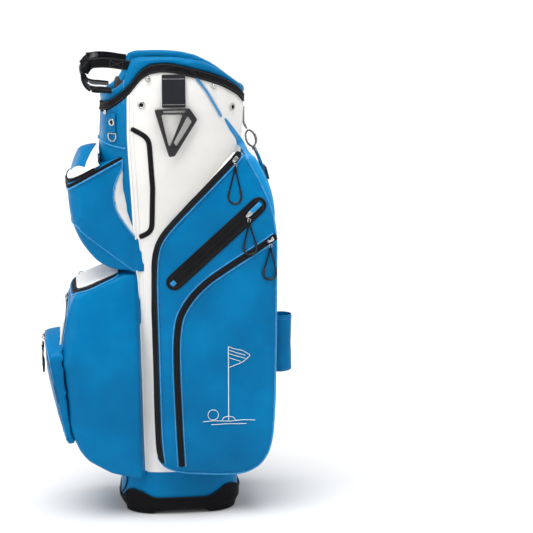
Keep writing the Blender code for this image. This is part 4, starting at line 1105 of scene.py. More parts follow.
rolls, lips = Soup(), Soup()
for y0, y1, count, half_w in ROWS:
    w = (2 * half_w - (count - 1) * BAR) / count
    for k in range(count):
        x0 = -half_w + k * (w + BAR)
        g = 0.0012
        loop = rounded([(x0 - g, y0 - g), (x0 + w + g, y0 - g), (x0 + w + g, y1 + g), (x0 - g, y1 + g)], 0.0060, 5)
        path = resample([Vector((x, y, 0)) for x, y in loop], 0.0035, closed=True)
        path = [Vector((p.x, p.y, divider_z(p.x, p.y) + 0.0006 + 0.0002 * mnoise.noise(p * 90))) for p in path]
        rolls.put(tube(path, 0.0024, 8, closed=True))
add("well_rolls", rolls.v, rolls.f, M_FLEECE, slot="black_fleece", angle=0)
# seams across the fleece along both slopes
s = Soup()
for sx in (-1, 1):
    P = [Vector((sx * 0.0345, y, divider_z(0.0345, y) + 0.0034)) for y in np.linspace(-0.054, 0.060, 30)]
    for yb in (-0.0548, 0.0002, 0.0552):
        line = [Vector((x, yb, divider_z(x, yb) + 0.0028)) for x in np.linspace(-0.078, 0.078, 40)]
    s.put(stitches(P, [Vector((0, 0, 1))] * 30, 0, r=0.0004))
add("divider_stitch", s.v, s.f, M_THREAD_G, slot="black_fleece")
# padded cushion along the middle of the front edge, the crown seen through the front opening
P, W = [], []
ring_v = []
for k in range(33):
    u = -1 + 2 * k / 32
    x = 0.070 * u
    z = divider_z(x, -0.108) + 0.001
    hgt = 0.0135 * (1 - abs(u) ** 4) + 0.001
    ring_v.append([Vector((x, -0.1085 + 0.0052 * math.cos(a), z + hgt * 0.5 * (1 + math.sin(a)) - 0.002)) for a in
                   [2 * math.pi * i / 14 for i in range(14)]])
add("divider_front_roll", *loft(ring_v), M_FLEECE, slot="black_fleece", angle=0)
for nm, mat in (("divider_top", M_FLEECE), ("divider_sheet_front", M_LINING), ("divider_sheet_rear", M_LINING), ("stay_left", M_STEEL),
                ("stay_right", M_STEEL), ("bottom_pad", M_FLEECE), ("spine_panel", M_BLUE)):
    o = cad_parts[nm]
    o.data.materials.clear()
    o.data.materials.append(mat)
    if nm in ("divider_top", "spine_panel"):
        bv = o.modifiers.new("bevel", "BEVEL")
        bv.width = 0.0016 if nm == "divider_top" else 0.004
        bv.segments = 2
        bv.limit_method = "ANGLE"
        bv.angle_limit = math.radians(35)


# ---------------------------------------------------------------- side pockets
def side_face(z):
    return table([(0.07, 0.1080), (0.115, 0.1200), (0.17, 0.1245), (0.615, 0.1245), (0.725, 0.1100)], z)[0]


ZIP1 = [(0.1155, 0.7185), (0.0980, 0.7005), (0.0550, 0.6580), (0.0200, 0.6240), (-0.0130, 0.5905), (-0.0350, 0.5640), (-0.0462, 0.5420),
        (-0.0512, 0.5100), (-0.0525, 0.4600), (-0.0508, 0.3600), (-0.0490, 0.2500), (-0.0465, 0.1600), (-0.0410, 0.1120)]
ZIP2 = [(0.1815, 0.5590), (0.1500, 0.5393), (0.1196, 0.5204), (0.0820, 0.4965), (0.0499, 0.4740), (0.0230, 0.4480), (0.0060, 0.4235),
        (-0.0040, 0.4000), (-0.0090, 0.3575), (-0.0092, 0.3000), (-0.0074, 0.2462), (-0.0045, 0.1700), (-0.0007, 0.1050)]
DRY0, DRY1, DRY_R = (-0.0125, 0.4755), (0.1485, 0.6200), 0.0160
EDGE = [(0.1180, 0.7200), (0.1290, 0.7085), (0.1430, 0.6850), (0.1575, 0.6560), (0.1700, 0.6260), (0.1785, 0.6000), (0.1842, 0.5500),
        (0.1848, 0.4800), (0.1835, 0.3300), (0.1815, 0.2200), (0.1742, 0.1460), (0.1560, 0.1075), (0.1250, 0.0885), (0.0900, 0.0862),
        (0.0350, 0.0890), (-0.0050, 0.0940), (-0.0380, 0.1070), (-0.0520, 0.1130)]


def closed_ob(name, ob):
    ob.name = name
    return ob


def mirrored(src, name):
    me = src.data.copy()
    bm = bmesh.new()
    bm.from_mesh(me)
    for v in bm.verts:
        v.co.x = -v.co.x
    bmesh.ops.reverse_faces(bm, faces=bm.faces)
    bm.to_mesh(me)
    bm.free()
    ob = bpy.data.objects.new(name, me)
    scene.collection.objects.link(ob)
    return ob


pocket_r = remeshed("side_pocket_skin_right", "side_pocket_right", 0.0055)
# seams hold the edges and the zip line; the panels between them swell
Z1 = np.array(ZIP1)
ED = np.array(EDGE)


def seg_dist(pts, y, z):
    best = 1e9
    for a, b in zip(pts[:-1], pts[1:]):
        d = b - a
        t = max(0.0, min(1.0, float(((y - a[0]) * d[0] + (z - a[1]) * d[1]) / (d @ d))))
        q = math.hypot(y - a[0] - d[0] * t, z - a[1] - d[1] * t)
        best = min(best, q)
    return best


def side_pin(c):
    if abs(c[0]) < 0.098:
        return 1.0
    q = min(seg_dist(Z1, c[1], c[2]), seg_dist(ED, c[1], c[2]))
    return 1.0 if q < 0.004 else 0.0


inflate(pocket_r, 0.0036, 4.0, side_pin)
puckers(pocket_r, 0.0007, 20.0, 1.0)
subdivide(pocket_r)


def side_pick(c, n):
    # in front of and above the first zip the fabric is white; behind it is blue
    y, z = c.y, c.z
    if z > 0.12:
        line = np.interp(z, Z1[::-1, 1], Z1[::-1, 0])
        if y < line and abs(c.x) < 0.1235:
            return 0
        if z > 0.60 and abs(n.x) < 0.55 and (n.y * -0.70 + n.z * 0.71) > 0.2:
            return 0
    elif y < -0.041 and abs(n.x) < 0.6 and n.y < 0:
        return 0
    return 1


pocket_l = mirrored(pocket_r, "side_pocket_skin_left")
for ob, node in ((pocket_r, "side_pocket_right"), (pocket_l, "side_pocket_left")):
    finish_soft(ob, [M_WHITE, M_BLUE], "bag", node, side_pick)
side_skin = {1: Skin(pocket_r), -1: Skin(pocket_l)}
full_skin = {1: Skin(pocket_r, body_v), -1: Skin(pocket_l, body_v)}


def yz_path(pts, sx, step=0.0045):
    return [Vector((sx * side_face(z), y, z)) for y, z in [tuple(p) for p in spline(pts, step)]]


def offset_yz(pts, d):
    """A (y, z) line moved sideways by d (positive: to the left of its run)."""
    p = [Vector((y, z, 0)) for y, z in pts]
    tg = tangents(p)
    return [(q.x - t.y * d, q.y + t.x * d) for q, t in zip(p, tg)]


def zip_on(skin, path, direction, width, body="bag", name="zip", teeth=0.0021, closed=False, mat_name=None, lift=0.0006, step=0.004,
           rounds=3):
    P, N = lay(skin, path, direction, lift, rounds, closed)
    s = ribbon(P, N, width, TAPE, closed)
    add(name + "_tape", *s, M_TAPE, body, "black_web", angle=0)
    add(name + "_coil", *coil_teeth(P, N, teeth), M_COIL, body, "black_web")
    th = Soup()
    th.put(stitches([p + n * 0.0009 for p, n in zip(P, N)], N, width * 0.42))
    th.put(stitches([p + n * 0.0009 for p, n in zip(P, N)], N, -width * 0.42))
    add(name + "_stitch", th.v, th.f, M_THREAD_K, body, "black_web")
    return P, N


def piping_on(skin, path, direction, name, mat, r=0.0017, body="bag", slot_="blue_pu", closed=False, stitch=None, side=0.0034,
              rounds=3, sink=0.35):
    P, N = lay(skin, path, direction, r * (1 - sink), rounds, closed)
    add(name, *tube(P, r, 10, closed), mat, body, slot_, angle=0)
    if stitch:
        base = [p - n * (r * (1 - sink)) for p, n in zip(P, N)]
        th = Soup()
        for sd in (side if isinstance(side, tuple) else (side,)):
            Q, M = [], []
            tg = tangents(P)
            for p, n, t in zip(base, N, tg):
                q = p + n.cross(t).normalized() * sd
                loc, nn = skin.near(q, n)
                Q.append(loc)
                M.append(nn)
            th.put(stitches(Q, M, 0.0))
        add(name + "_stitch", th.v, th.f, stitch, body, slot_)
    return P, N


def obround(c0, c1, r, n=16):
    a, b = Vector((c0[0], c0[1], 0)), Vector((c1[0], c1[1], 0))
    t = (b - a).normalized()
    w = Vector((-t.y, t.x, 0))
    out = []
    for c, s in ((b, 1), (a, -1)):
        for k in range(n + 1):
            ang = math.pi / 2 - math.pi * k / n
            out.append(c + (t * (s * math.cos(ang)) + w * (s * math.sin(ang))) * r)
    return [(p.x, p.y) for p in out]


for side, sx in (("right", 1), ("left", -1)):
    sk, fl = side_skin[sx], full_skin[sx]
    d = Vector((sx, 0, 0))
    # zip of the long front opening, on the pocket's rounded edge
    p1 = yz_path(ZIP1, sx)
    dirs = []
    tg = tangents(p1)
    for p, t in zip(p1, tg):
        w = Vector((0, t.z, -t.y))
        if w.y > 0:
            w = -w
        dirs.append((d + w * 0.55).normalized())
    zip_on(sk, p1, dirs, 0.0125, name="zip_main_" + side, rounds=5)
    zip_on(sk, yz_path(ZIP2, sx), d, 0.0115, name="zip_lower_" + side)
    # blue piping beside both zips
    inner = offset_yz([tuple(q)[:2] for q in spline(ZIP1, 0.01)], 0.0088)
    piping_on(sk, yz_path(inner, sx), d, "piping_main_" + side, M_BLUE2, stitch=M_THREAD_B, side=(-0.0036,) if sx < 0 else (0.0036,))
    for tag, off in (("a", 0.0078), ("b", -0.0078)):
        line = offset_yz([tuple(q)[:2] for q in spline(ZIP2, 0.01)], off)
        piping_on(sk, yz_path(line, sx), d, "piping_lower_%s_%s" % (tag, side), M_BLUE2, r=0.0015, stitch=M_THREAD_B,
                  side=(0.0032 if (off > 0) == (sx > 0) else -0.0032,))
    # outer piping round the back and foot of the pocket
    pe = yz_path(EDGE, sx)
    tg = tangents(pe)
    dirs = []
    for p, t in zip(pe, tg):
        w = Vector((0, t.z, -t.y))
        c = Vector((0, p.y - 0.065, p.z - 0.36))
        if w.dot(c) < 0:
            w = -w
        dirs.append((d + w * 0.65).normalized())
    piping_on(sk, pe, dirs, "piping_edge_" + side, M_BLUE2, r=0.0021, stitch=M_THREAD_B, side=(0.0042, -0.0042), rounds=4)
    # the same piping carries on over the collar to the webbing band
    up = spline([(0.0345, 0.8600), (0.0504, 0.8413), (0.0691, 0.8129), (0.0878, 0.7848)], 0.0045)
    upw = [Vector((sx * 0.11, p.x, p.y)) for p in up]
    piping_on(body_skin, upw, [Vector((sx, 0.35, 0)).normalized()] * len(upw), "piping_collar_" + side, M_BLUE2, r=0.0021,
              stitch=M_THREAD_B, side=(0.0040, -0.0040))
    # flat gusset strip that widens down the back edge of the pocket
    gus = spline([(0.0878, 0.7848), (0.1040, 0.7590), (0.1200, 0.7350), (0.1310, 0.7180), (0.1420, 0.6990), (0.1545, 0.6760), (0.1650, 0.6530),
                  (0.1725, 0.6280), (0.1770, 0.6050), (0.1790, 0.5850)], 0.005)
    gp, gn, gw = [], [], []
    for q in gus:
        y_, z_ = q.x, q.y
        x_ = max(0.0, side_face(z_) - 0.0065)
        if z_ > 0.722:
            pb, nb = on_body(angle_at(min(y_, 0.118), z_, sx), z_, 0.0010)
            x_ = abs(pb.x)
        gp.append(Vector((sx * x_, y_, z_)))
        gn.append(Vector((sx, 0.45 if z_ > 0.70 else 0.25, 0.12)).normalized())
    gp = smooth_list(gp, 4)
    m_ = len(gp) - 1
    gw = [0.0022 + 0.0150 * math.sin(math.pi * min(1.0, max(0.03, i / m_))) ** 0.7 for i in range(m_ + 1)]
    add("gusset_strip_" + side, *ribbon(gp, gn, gw, [(-1, -0.0016), (-1, 0.0002), (-0.8, 0.0010), (0, 0.0013), (0.8, 0.0010), (1, 0.0002),
                                                     (1, -0.0016)]), M_BLUE2, "bag", "blue_pu", angle=50)
    # C-shaped zip on the white panel
    cz = rounded([(-0.0905, 0.7660), (-0.0800, 0.7615), (-0.0560, 0.7480), (-0.0497, 0.6520), (-0.0520, 0.5680), (-0.0770, 0.5560)],
                 [0.0, 0.004, 0.022, 0.05, 0.020, 0.0], 6)
    cz = [(y, z) for y, z in cz]
    path = [Vector((sx * 0.10, p.x, p.y)) for p in resample([Vector((y, z, 0)) for y, z in cz], 0.004)]
    zip_on(body_skin, path, d, 0.0098, name="zip_side_" + side, teeth=0.0018)
    # water-resistant zip: a bonded rim round a smooth film, garage tabs at both ends
    film = obround(DRY0, DRY1, DRY_R - 0.0035)
    t3 = Vector((0, DRY1[0] - DRY0[0], DRY1[1] - DRY0[1])).normalized()
    ring = [Vector((sx * side_face(z), y, z)) for y, z in obround(DRY0, DRY1, DRY_R - 0.0026, 20)]
    ring = resample(ring, 0.0035, closed=True)
    P, N = lay(sk, ring, d, 0.0, 3, True)
    add("dry_rim_" + side, *ribbon(P, N, 0.0058, [(-1.0, -0.0008), (-1.0, 0.0006), (-0.75, 0.0017), (-0.3, 0.0021), (0.3, 0.0021),
        (0.75, 0.0017), (1.0, 0.0006), (1.0, -0.0008)], True), M_DRY, "bag", "black_web", angle=0)
    rows = []
    n_long = 46
    for i in range(n_long + 1):
        f = i / n_long
        cx = DRY0[0] + (DRY1[0] - DRY0[0]) * f
        cz_ = DRY0[1] + (DRY1[1] - DRY0[1]) * f
        rows.append(Vector((sx * side_face(cz_), cx, cz_)))
    P, N = lay(sk, rows, d, 0.0, 3)
    e = (DRY_R - 0.0030)
    prof = [(-1, -0.0006), (-1, 0.0011), (-0.55, 0.0013), (-0.20, 0.0013), (-0.14, 0.0020), (-0.012, 0.0022), (0.0, 0.0012), (0.012, 0.0022),
            (0.14, 0.0020), (0.20, 0.0013), (0.55, 0.0013), (1, 0.0011), (1, -0.0006)]
    ext = [P[0] - t3 * (e * 0.75), P[0] - t3 * (e * 0.45)] + P + [P[-1] + t3 * (e * 0.45), P[-1] + t3 * (e * 0.75)]
    extn = [N[0]] * 2 + N + [N[-1]] * 2
    wid = [2 * e * 0.66, 2 * e * 0.90] + [2 * e] * len(P) + [2 * e * 0.90, 2 * e * 0.66]
    add("dry_film_" + side, *ribbon(ext, extn, wid, prof), M_DRY, "bag", "black_web", angle=35)
    for tag, a, b, w in (("upper", 0.885, 1.030, 0.0088), ("lower", -0.035, 0.012, 0.0088)):
        q = [Vector((sx * side_face(DRY0[1]), DRY0[0] + (DRY1[0] - DRY0[0]) * f, DRY0[1] + (DRY1[1] - DRY0[1]) * f))
             for f in np.linspace(a, b, 8)]
        PP, NN = lay(sk, q, d, 0.0021, 1)
        add("dry_tab_%s_%s" % (tag, side), *ribbon(PP, NN, w, [(-1, -0.0006), (-1, 0.0004), (-0.85, 0.0010), (0, 0.0013), (0.85, 0.0010),
            (1, 0.0004), (1, -0.0006)]), M_BLUE2, "bag", "blue_pu", angle=0)
    # flat end tabs where the zips run out at the top
    for tag, line in (("main", ZIP1), ("lower", ZIP2)):
        a = Vector((line[0][0], line[0][1], 0))
        b = Vector((line[1][0], line[1][1], 0))
        t = (b - a).normalized()
        q = [a + t * (0.0165 * f - 0.001) for f in np.linspace(0, 1, 6)]
        q = [Vector((sx * side_face(p.y), p.x, p.y)) for p in q]
        PP, NN = lay(sk, q, d, 0.0028, 1)
        add("end_tab_%s_%s" % (tag, side), *ribbon(PP, NN, 0.0120, FLAT), M_TAPE, "bag", "black_web", angle=0)

    # generic embroidery: a flag on its pole, a ball and two ground lines
    e3 = Soup()

    def sew(pts, r=0.00055, close=False):
        pp = [Vector((sx * 0.1245, y, z)) for y, z in pts]
        pp = resample(pp, 0.0030, closed=close)
        PP, NN = lay(sk, pp, d, 0.0003, 1, close)
        e3.put(tube(PP, r, 6, close))
        e3.put(stitches([p + n * r for p, n in zip(PP, NN)], NN, 0, 0.0022, 0.0008, 0.0004))

    def circ(cy, cz, r, a0=0, a1=360, n=26):
        return [(cy + r * math.cos(math.radians(a0 + (a1 - a0) * k / n)), cz + r * math.sin(math.radians(a0 + (a1 - a0) * k / n)))
                for k in range(n + 1)]
    sew([(0.0900, 0.2000), (0.0900, 0.3480)], 0.0009)
    sew([(0.0915, 0.3460), (0.1030, 0.3420), (0.1170, 0.3390), (0.1330, 0.3290), (0.1180, 0.3160), (0.1030, 0.3100), (0.0915, 0.3060)])
    sew([(0.0915, 0.3400), (0.1060, 0.3345), (0.1230, 0.3290)])
    sew([(0.0915, 0.3330), (0.1060, 0.3280), (0.1230, 0.3230)])
    sew([(0.0915, 0.3250), (0.1040, 0.3205), (0.1140, 0.3170)])
    sew(circ(0.0600, 0.2120, 0.0105)[:-1], close=True)
    for q, w in ((0.0555, 0.2155), (0.0600, 0.2170), (0.0645, 0.2150), (0.0575, 0.2115), (0.0625, 0.2112), (0.0600, 0.2068)):
        sew(circ(q, w, 0.0010, n=8)[:-1], 0.0004, True)
    sew([(0.0400, 0.1990), (0.0600, 0.2005), (0.0900, 0.1985), (0.1180, 0.2005), (0.1420, 0.1990)])
    sew([(0.0560, 0.1925), (0.0850, 0.1935), (0.1250, 0.1925)])
    sew([(0.0770, 0.2000), (0.0800, 0.2065), (0.0900, 0.2085), (0.1000, 0.2065), (0.1030, 0.2000)])
    add("embroidery_" + side, e3.v, e3.f, M_THREAD_W, "bag", "white_pu")

    # white piping down the front edge of the white strip, beside the front pockets
    front_edge = spline([(-0.0925, 0.8290), (-0.0930, 0.7800), (-0.0927, 0.7340), (-0.0865, 0.6200), (-0.0800, 0.5000), (-0.0782, 0.4700),
                         (-0.0760, 0.3600), (-0.0730, 0.2200), (-0.0705, 0.0900)], 0.0045)
    path = [on_body(angle_at(p.x, p.y, sx), p.y)[0] for p in front_edge]
    dirv = Vector((sx, -0.25, 0)).normalized()
    strip = [on_body(angle_at(p.x + 0.0046, p.y, sx), p.y) for p in front_edge]
    add("front_binding_" + side, *ribbon([q[0] for q in strip], smooth_list([q[1] for q in strip], 3), 0.0100,
                                         [(-1, -0.0012), (-1, 0.0004), (-0.8, 0.0009), (0.8, 0.0009), (1, 0.0004), (1, -0.0012)]),
        M_WHITE, "bag", "white_pu", angle=50)
    piping_on(body_skin, path, dirv, "piping_front_" + side, M_WHITE2, r=0.0026, slot_="white_pu", stitch=M_THREAD_W,
              side=(0.0036 * -sx, 0.0))


# ---------------------------------------------------------------- upper pocket
def upper_plane(y):
    return 0.7285 + (y + 0.0928) * (0.7285 - 0.6654) / (0.2101 - 0.0928)


def crown(x, y):
    c = smooth_line([(-0.2200, 0.0), (-0.2090, 0.010), (-0.1960, 0.034), (-0.1850, 0.038), (-0.1490, 0.030), (-0.09, 0.022)], y)
    return c * max(0.0, 1 - (abs(x) / UPPER_HALF) ** 2.2)


LENS = [(0.7060, -0.0950), (0.6900, -0.1065), (0.6650, -0.1190), (0.6400, -0.1244), (0.6100, -0.1195), (0.5800, -0.1020), (0.5560, -0.0841)]
LZ = np.array(LENS)[::-1]


def lens_y(z):
    return float(np.interp(z, LZ[:, 0], LZ[:, 1]))


upper_v = remeshed("upper_pocket_skin", "upper_pocket", 0.0048)


def room_front(z):
    """Front wall of the room inside the upper pocket."""
    return float(np.interp(z, [0.530, 0.556, 0.587, 0.630], [-0.1560, -0.1800, -0.1940, -0.1990])) - 0.0035


def upper_pin(c):
    top = c[2] > upper_plane(c[1]) - 0.012
    cavity = abs(c[0]) < 0.0745 and room_front(c[2]) < c[1] < -0.148 and c[2] > 0.526
    return 1.0 if (top or cavity or c[1] > -0.088) else 0.0


inflate(upper_v, 0.0042, 4.0, upper_pin)
for v in upper_v.data.vertices:
    x, y, z = v.co
    # hollow behind the arched seam on both sides
    if abs(x) > 0.070 and 0.55 < z < 0.71:
        q = y - lens_y(z)
        k = min(1.0, max(0.0, q / 0.020))
        f = min(1.0, max(0.0, (z - 0.553) / 0.03)) * min(1.0, max(0.0, (0.709 - z) / 0.02))
        v.co.x -= math.copysign(0.0085 * k * k * (3 - 2 * k) * f, x)
    # the belly leans in below the seam
    a = min(1.0, max(0.0, (abs(x) - 0.062) / 0.026))
    if y < -0.185:
        v.co.y += 0.0075 * a * a * min(1.0, (-0.185 - y) / 0.015)
upper_v.data.update()
puckers(upper_v, 0.0011, 17.0, 4.0)
for v in upper_v.data.vertices:
    top = upper_plane(v.co.y) - 0.0064
    if v.co.z > top:
        v.co.z = top + (v.co.z - top) * 0.02
subdivide(upper_v)


def upper_pick(c, n):
    if abs(c.x) < 0.0742 and room_front(c.z) < c.y < -0.1475 and 0.5265 < c.z < upper_plane(c.y) - 0.0078:
        return 2
    if abs(c.x) > 0.066 and 0.553 < c.z < 0.706 and c.y > lens_y(c.z) + 0.0010:
        return 1
    return 0


finish_soft(upper_v, [M_BLUE, M_WHITE, M_LINING], "bag", "upper_pocket", upper_pick)
upper_skin = Skin(upper_v)


def upper_edge(drop, n=26, y_start=-0.0955, rc=0.020):
    """The path round the mouth of the upper pocket, drop below the lid's plane; returns points and outward directions."""
    xy = []
    yf, xh = -0.2095, 0.0880
    for y in np.linspace(y_start, yf + rc, n):
        xy.append((xh, y, 0.0))
    for k in range(1, 10):
        a = math.pi / 2 * k / 9
        xy.append((xh - rc + rc * math.cos(a), yf + rc - rc * math.sin(a), a))
    for x in np.linspace(xh - rc, 0, 14)[1:]:
        xy.append((x, yf - 0.0012 * (1 - (x / xh) ** 2), math.pi / 2))
    full = xy + [(-x, y, -a if a else 0.0) for x, y, a in reversed(xy[:-1])]
    pts, dirs = [], []
    m = len(xy)
    for i, (x, y, a) in enumerate(full):
        ang = a if i < m else None
        if i < m:
            d = Vector((math.cos(a), -math.sin(a), 0.05))
        else:
            a2 = xy[len(full) - 1 - i][2]
            d = Vector((-math.cos(a2), -math.sin(a2), 0.05))
        pts.append(Vector((x, y, upper_plane(y) - drop)))
        dirs.append(d.normalized())
    q = resample(pts, 0.004)
    ref = np.array([tuple(p) for p in pts])
    dd = [dirs[int(np.argmin(((ref - np.array(tuple(p))) ** 2).sum(1)))] for p in q]
    return q, smooth_list(dd, 3)


HALF_TAPE = [(-1.0, -0.0006), (-1.0, 0.0004), (-0.6, 0.0010), (0.6, 0.0012), (1.0, 0.0008), (1.0, -0.0006)]


def half_teeth(P, N, z_sign, pitch=0.0016, length=0.0022):
    s = Soup()
    pts = resample(P, pitch)
    ref = np.array([tuple(p) for p in P])
    for i, p in enumerate(pts):
        t = (pts[min(i + 1, len(pts) - 1)] - pts[max(i - 1, 0)]).normalized()
        k = int(np.argmin(((ref - np.array(tuple(p))) ** 2).sum(1)))
        n = (N[k] - t * N[k].dot(t)).normalized()
        w = n.cross(t)
        if w.z * z_sign < 0:
            w = -w
        a, b, l = w * 0.0001, w * length, t * (pitch * 0.34)
        lo, hi = n * 0.0008, n * 0.0021
        q = [p + a - l + lo, p + b - l + lo, p + b + l + lo, p + a + l + lo,
             p + a * 2 - l * 0.5 + hi, p + b * 0.85 - l * 0.5 + hi, p + b * 0.85 + l * 0.5 + hi, p + a * 2 + l * 0.5 + hi]
        s.put((q, [(0, 1, 2, 3), (4, 5, 6, 7), (0, 1, 5, 4), (1, 2, 6, 5), (2, 3, 7, 6), (3, 0, 4, 7)]))
    return s.v, s.f


# lower half of the zip belongs to the pocket, the upper half to the lid
mid_p, mid_d = upper_edge(0.0078)
MP, MN = lay(upper_skin, mid_p, mid_d, 0.0012, 5, reach=0.03)
low_p, low_d = upper_edge(0.0114)
LP, LN = lay(upper_skin, low_p, low_d, 0.0010, 5, reach=0.03)
add("upper_zip_low_tape", *ribbon(LP, LN, 0.0068, HALF_TAPE), M_TAPE, "bag", "black_web", angle=0)
add("upper_zip_low_coil", *half_teeth([p - Vector((0, 0, 0.0006)) for p in MP], MN, -1), M_COIL, "bag", "black_web")
pp, pd = upper_edge(0.0162)
piping_on(upper_skin, pp, pd, "upper_piping", M_BLUE2, r=0.0019, stitch=M_THREAD_B, side=(0.0038, -0.0038), rounds=4)

# seam between the front and the belly, piped across the front and down both sides
seam = []
side_line = [(-0.0800, 0.4870), (-0.1100, 0.5105), (-0.1400, 0.5340), (-0.1700, 0.5580), (-0.1900, 0.5735)]
for y, z in [tuple(p)[:2] for p in resample([Vector((a, b, 0)) for a, b in side_line], 0.005)]:
    seam.append((Vector((0.0875, y, z)), Vector((1, -0.1, -0.1))))
for k in range(1, 9):
    a = math.pi / 2 * k / 9
    seam.append((Vector((0.0695 + 0.0180 * math.cos(a), -0.1860 - 0.0150 * math.sin(a), 0.5745 + 0.0085 * math.sin(a))),
                 Vector((math.cos(a), -math.sin(a), -0.1))))
for x in np.linspace(0.0680, 0, 14):
    seam.append((Vector((x, -0.2010, 0.5832 + 0.0015 * (1 - (x / 0.07) ** 2))), Vector((0, -1, -0.1))))
seam = seam + [(Vector((-p.x, p.y, p.z)), Vector((-d.x, d.y, d.z))) for p, d in reversed(seam[:-1])]
piping_on(upper_skin, [p for p, d in seam], [d.normalized() for p, d in seam], "upper_seam", M_BLUE2, r=0.0015, stitch=M_THREAD_B,
          side=(0.0034, -0.0034), rounds=3)
for side, sx in (("right", 1), ("left", -1)):
    line = [Vector((sx * 0.088, y, z)) for z, y in [tuple(p)[:2] for p in spline(LENS, 0.004)]]
    piping_on(upper_skin, line, Vector((sx, 0, 0)), "lens_piping_" + side, M_BLUE2, r=0.0018, stitch=M_THREAD_B,
              side=(0.0036, -0.0036), rounds=3)

# lid: white border, blue crowned middle
LID_T = 0.0040


def lid_outline(n=112):
    pts = []
    for k in range(n // 2 + 1):
        a = math.pi + math.pi * k / (n // 2)
        pts.append((0.0850 * spow(math.cos(a), 2 / 3.0), -0.1500 - 0.0575 * abs(math.sin(a)) ** (2 / 3.2)))
    m = n // 2 - 1
    return pts + [(0.0850 - 0.1700 * k / (m + 1), -0.1512) for k in range(1, m + 1)]


def lid_top(x, y):
    """Top of the lid: flat along its seam, rising to a crown inside it."""
    yf = -0.1500 - 0.0575 * max(0.0, 1 - min(1.0, abs(x) / 0.0850) ** 3) ** (1 / 3.2)
    f = min(1.0, max(0.0, (y - yf) / 0.026))
    return upper_plane(y) + max(0.0, crown(x, y)) * f * (2 - f) - 0.0005


lo_out = lid_outline()
rings = []
for s, dz in ((0.30, -0.0036), (0.62, -0.0036), (0.86, -0.0036), (0.975, -0.0036), (0.995, -0.0030), (1.003, -0.0018), (0.997, -0.0006),
              (0.982, 0.0), (0.93, 0.0), (0.86, 0.0), (0.78, 0.0), (0.68, 0.0), (0.56, 0.0), (0.42, 0.0), (0.26, 0.0), (0.12, 0.0)):
    rings.append([Vector((x * s, -0.178 + (y + 0.178) * s, lid_top(x * s, -0.178 + (y + 0.178) * s) + dz)) for x, y in lo_out])
lid_v = add("lid_shell", *loft(rings), M_WHITE, "upper_lid", "white_pu", angle=50, replaces=("upper_pocket_lid",))
lid_skin = Skin(lid_v)
rows_t, rows_b = [], []
for i in range(41):
    u = -1 + 2 * i / 40
    x = 0.0750 * math.copysign(abs(u) ** 0.92, u)
    yf = -0.2025 + 0.0260 * (abs(x) / 0.0750) ** 2.6
    yb = -0.1522 - 0.0240 * (abs(x) / 0.0750) ** 1.5
    rt, rb = [], []
    for j in range(19):
        v_ = j / 18
        y = yf + (yb - yf) * v_
        bul = 0.0026 * (math.sin(math.pi * v_) ** 0.6) * max(0.0, 1 - abs(u) ** 3)
        z = lid_top(x, y)
        rt.append(Vector((x, y, z + 0.0006 + bul + 0.0003 * mnoise.noise(Vector((x * 40, y * 40, 2))))))
        rb.append(Vector((x, y, z - 0.0008)))
    rows_t.append(rt)
    rows_b.append(rb)
add("lid_lens", *loft([rt + rb[::-1] for rt, rb in zip(rows_t, rows_b)]), M_BLUE, "upper_lid", "blue_pu", angle=50)
# bound edge of the lid and the upper half of its zip
edge = [Vector((x * 1.0, y, lid_top(x, y) - 0.0006)) for x, y in lo_out[1:57]]
edge = resample(edge, 0.0035)
add("lid_piping", *tube(edge, 0.0017, 10), M_WHITE2, "upper_lid", "white_pu", angle=0)
Q, M = lay(lid_skin, [Vector((p.x * 0.955, -0.178 + (p.y + 0.178) * 0.935, p.z)) for p in edge], Vector((0, 0, 1)), 0.0, 2)
add("lid_stitch", *stitches(Q, M), M_THREAD_W, "upper_lid", "white_pu")
up_p, up_n = [], []
ref = np.array([tuple(p) for p in MP])
for p in edge[2:-2]:
    k = int(np.argmin(((ref[:, :2] - np.array(tuple(p))[:2]) ** 2).sum(1)))
    q = MP[k].copy()
    nn = Vector((MN[k].x, MN[k].y, MN[k].z * 0.3)).normalized()
    base = Vector((p.x, p.y, 0)).lerp(Vector((q.x, q.y, 0)), 0.75)
    up_p.append(Vector((base.x, base.y, (p.z - 0.0012 + q.z + 0.0006) / 2)))
    up_n.append(nn)
up_p, up_n = smooth_list(up_p, 4), smooth_list(up_n, 4)
add("upper_zip_lid_tape", *ribbon(up_p, up_n, 0.0066, HALF_TAPE), M_TAPE, "upper_lid", "black_web", angle=0)
add("upper_zip_lid_coil", *half_teeth([p - Vector((0, 0, 0.0029)) for p in up_p], up_n, 1), M_COIL, "upper_lid", "black_web")
# arched piping of the blue collar panel, just over the lid
arch, an = [], []
for k in range(61):
    u = -1 + 2 * k / 60
    x = 0.0905 * u
    z = 0.7395 - 0.0120 * abs(u) ** 2.2
    p, n = on_body(front_angle(x, z), z, 0.0012)
    arch.append(p)
    an.append(n)
add("collar_arch_piping", *tube(arch, 0.0019, 10), M_BLUE2, slot="blue_pu", angle=0)
arch2, an2 = [], []
for k in range(61):
    u = -1 + 2 * k / 60
    x = 0.0890 * u
    z = 0.7440 - 0.0120 * abs(u) ** 2.2
    p, n = on_body(front_angle(x, z), z, 0.0003)
    arch2.append(p)
    an2.append(n)
add("collar_arch_stitch", *stitches(arch2, an2), M_THREAD_B, slot="blue_pu")

# ---------------------------------------------------------------- lower pocket and its two flaps
lower_v = remeshed("lower_pocket_skin", "lower_pocket", 0.0055)


def lower_pin(c):
    cavity = abs(c[0]) < 0.0635 and -0.1885 < c[1] < -0.1315 and c[2] > 0.356
    slope = c[2] > 0.325 and (c[1] + 0.2290) * 0.98 + (0.318 - c[2]) * -0.155 < 0.004 if c[2] < 0.42 else c[2] > 0.43
    return 1.0 if (cavity or slope or c[1] > -0.084 or c[2] < 0.10) else 0.0


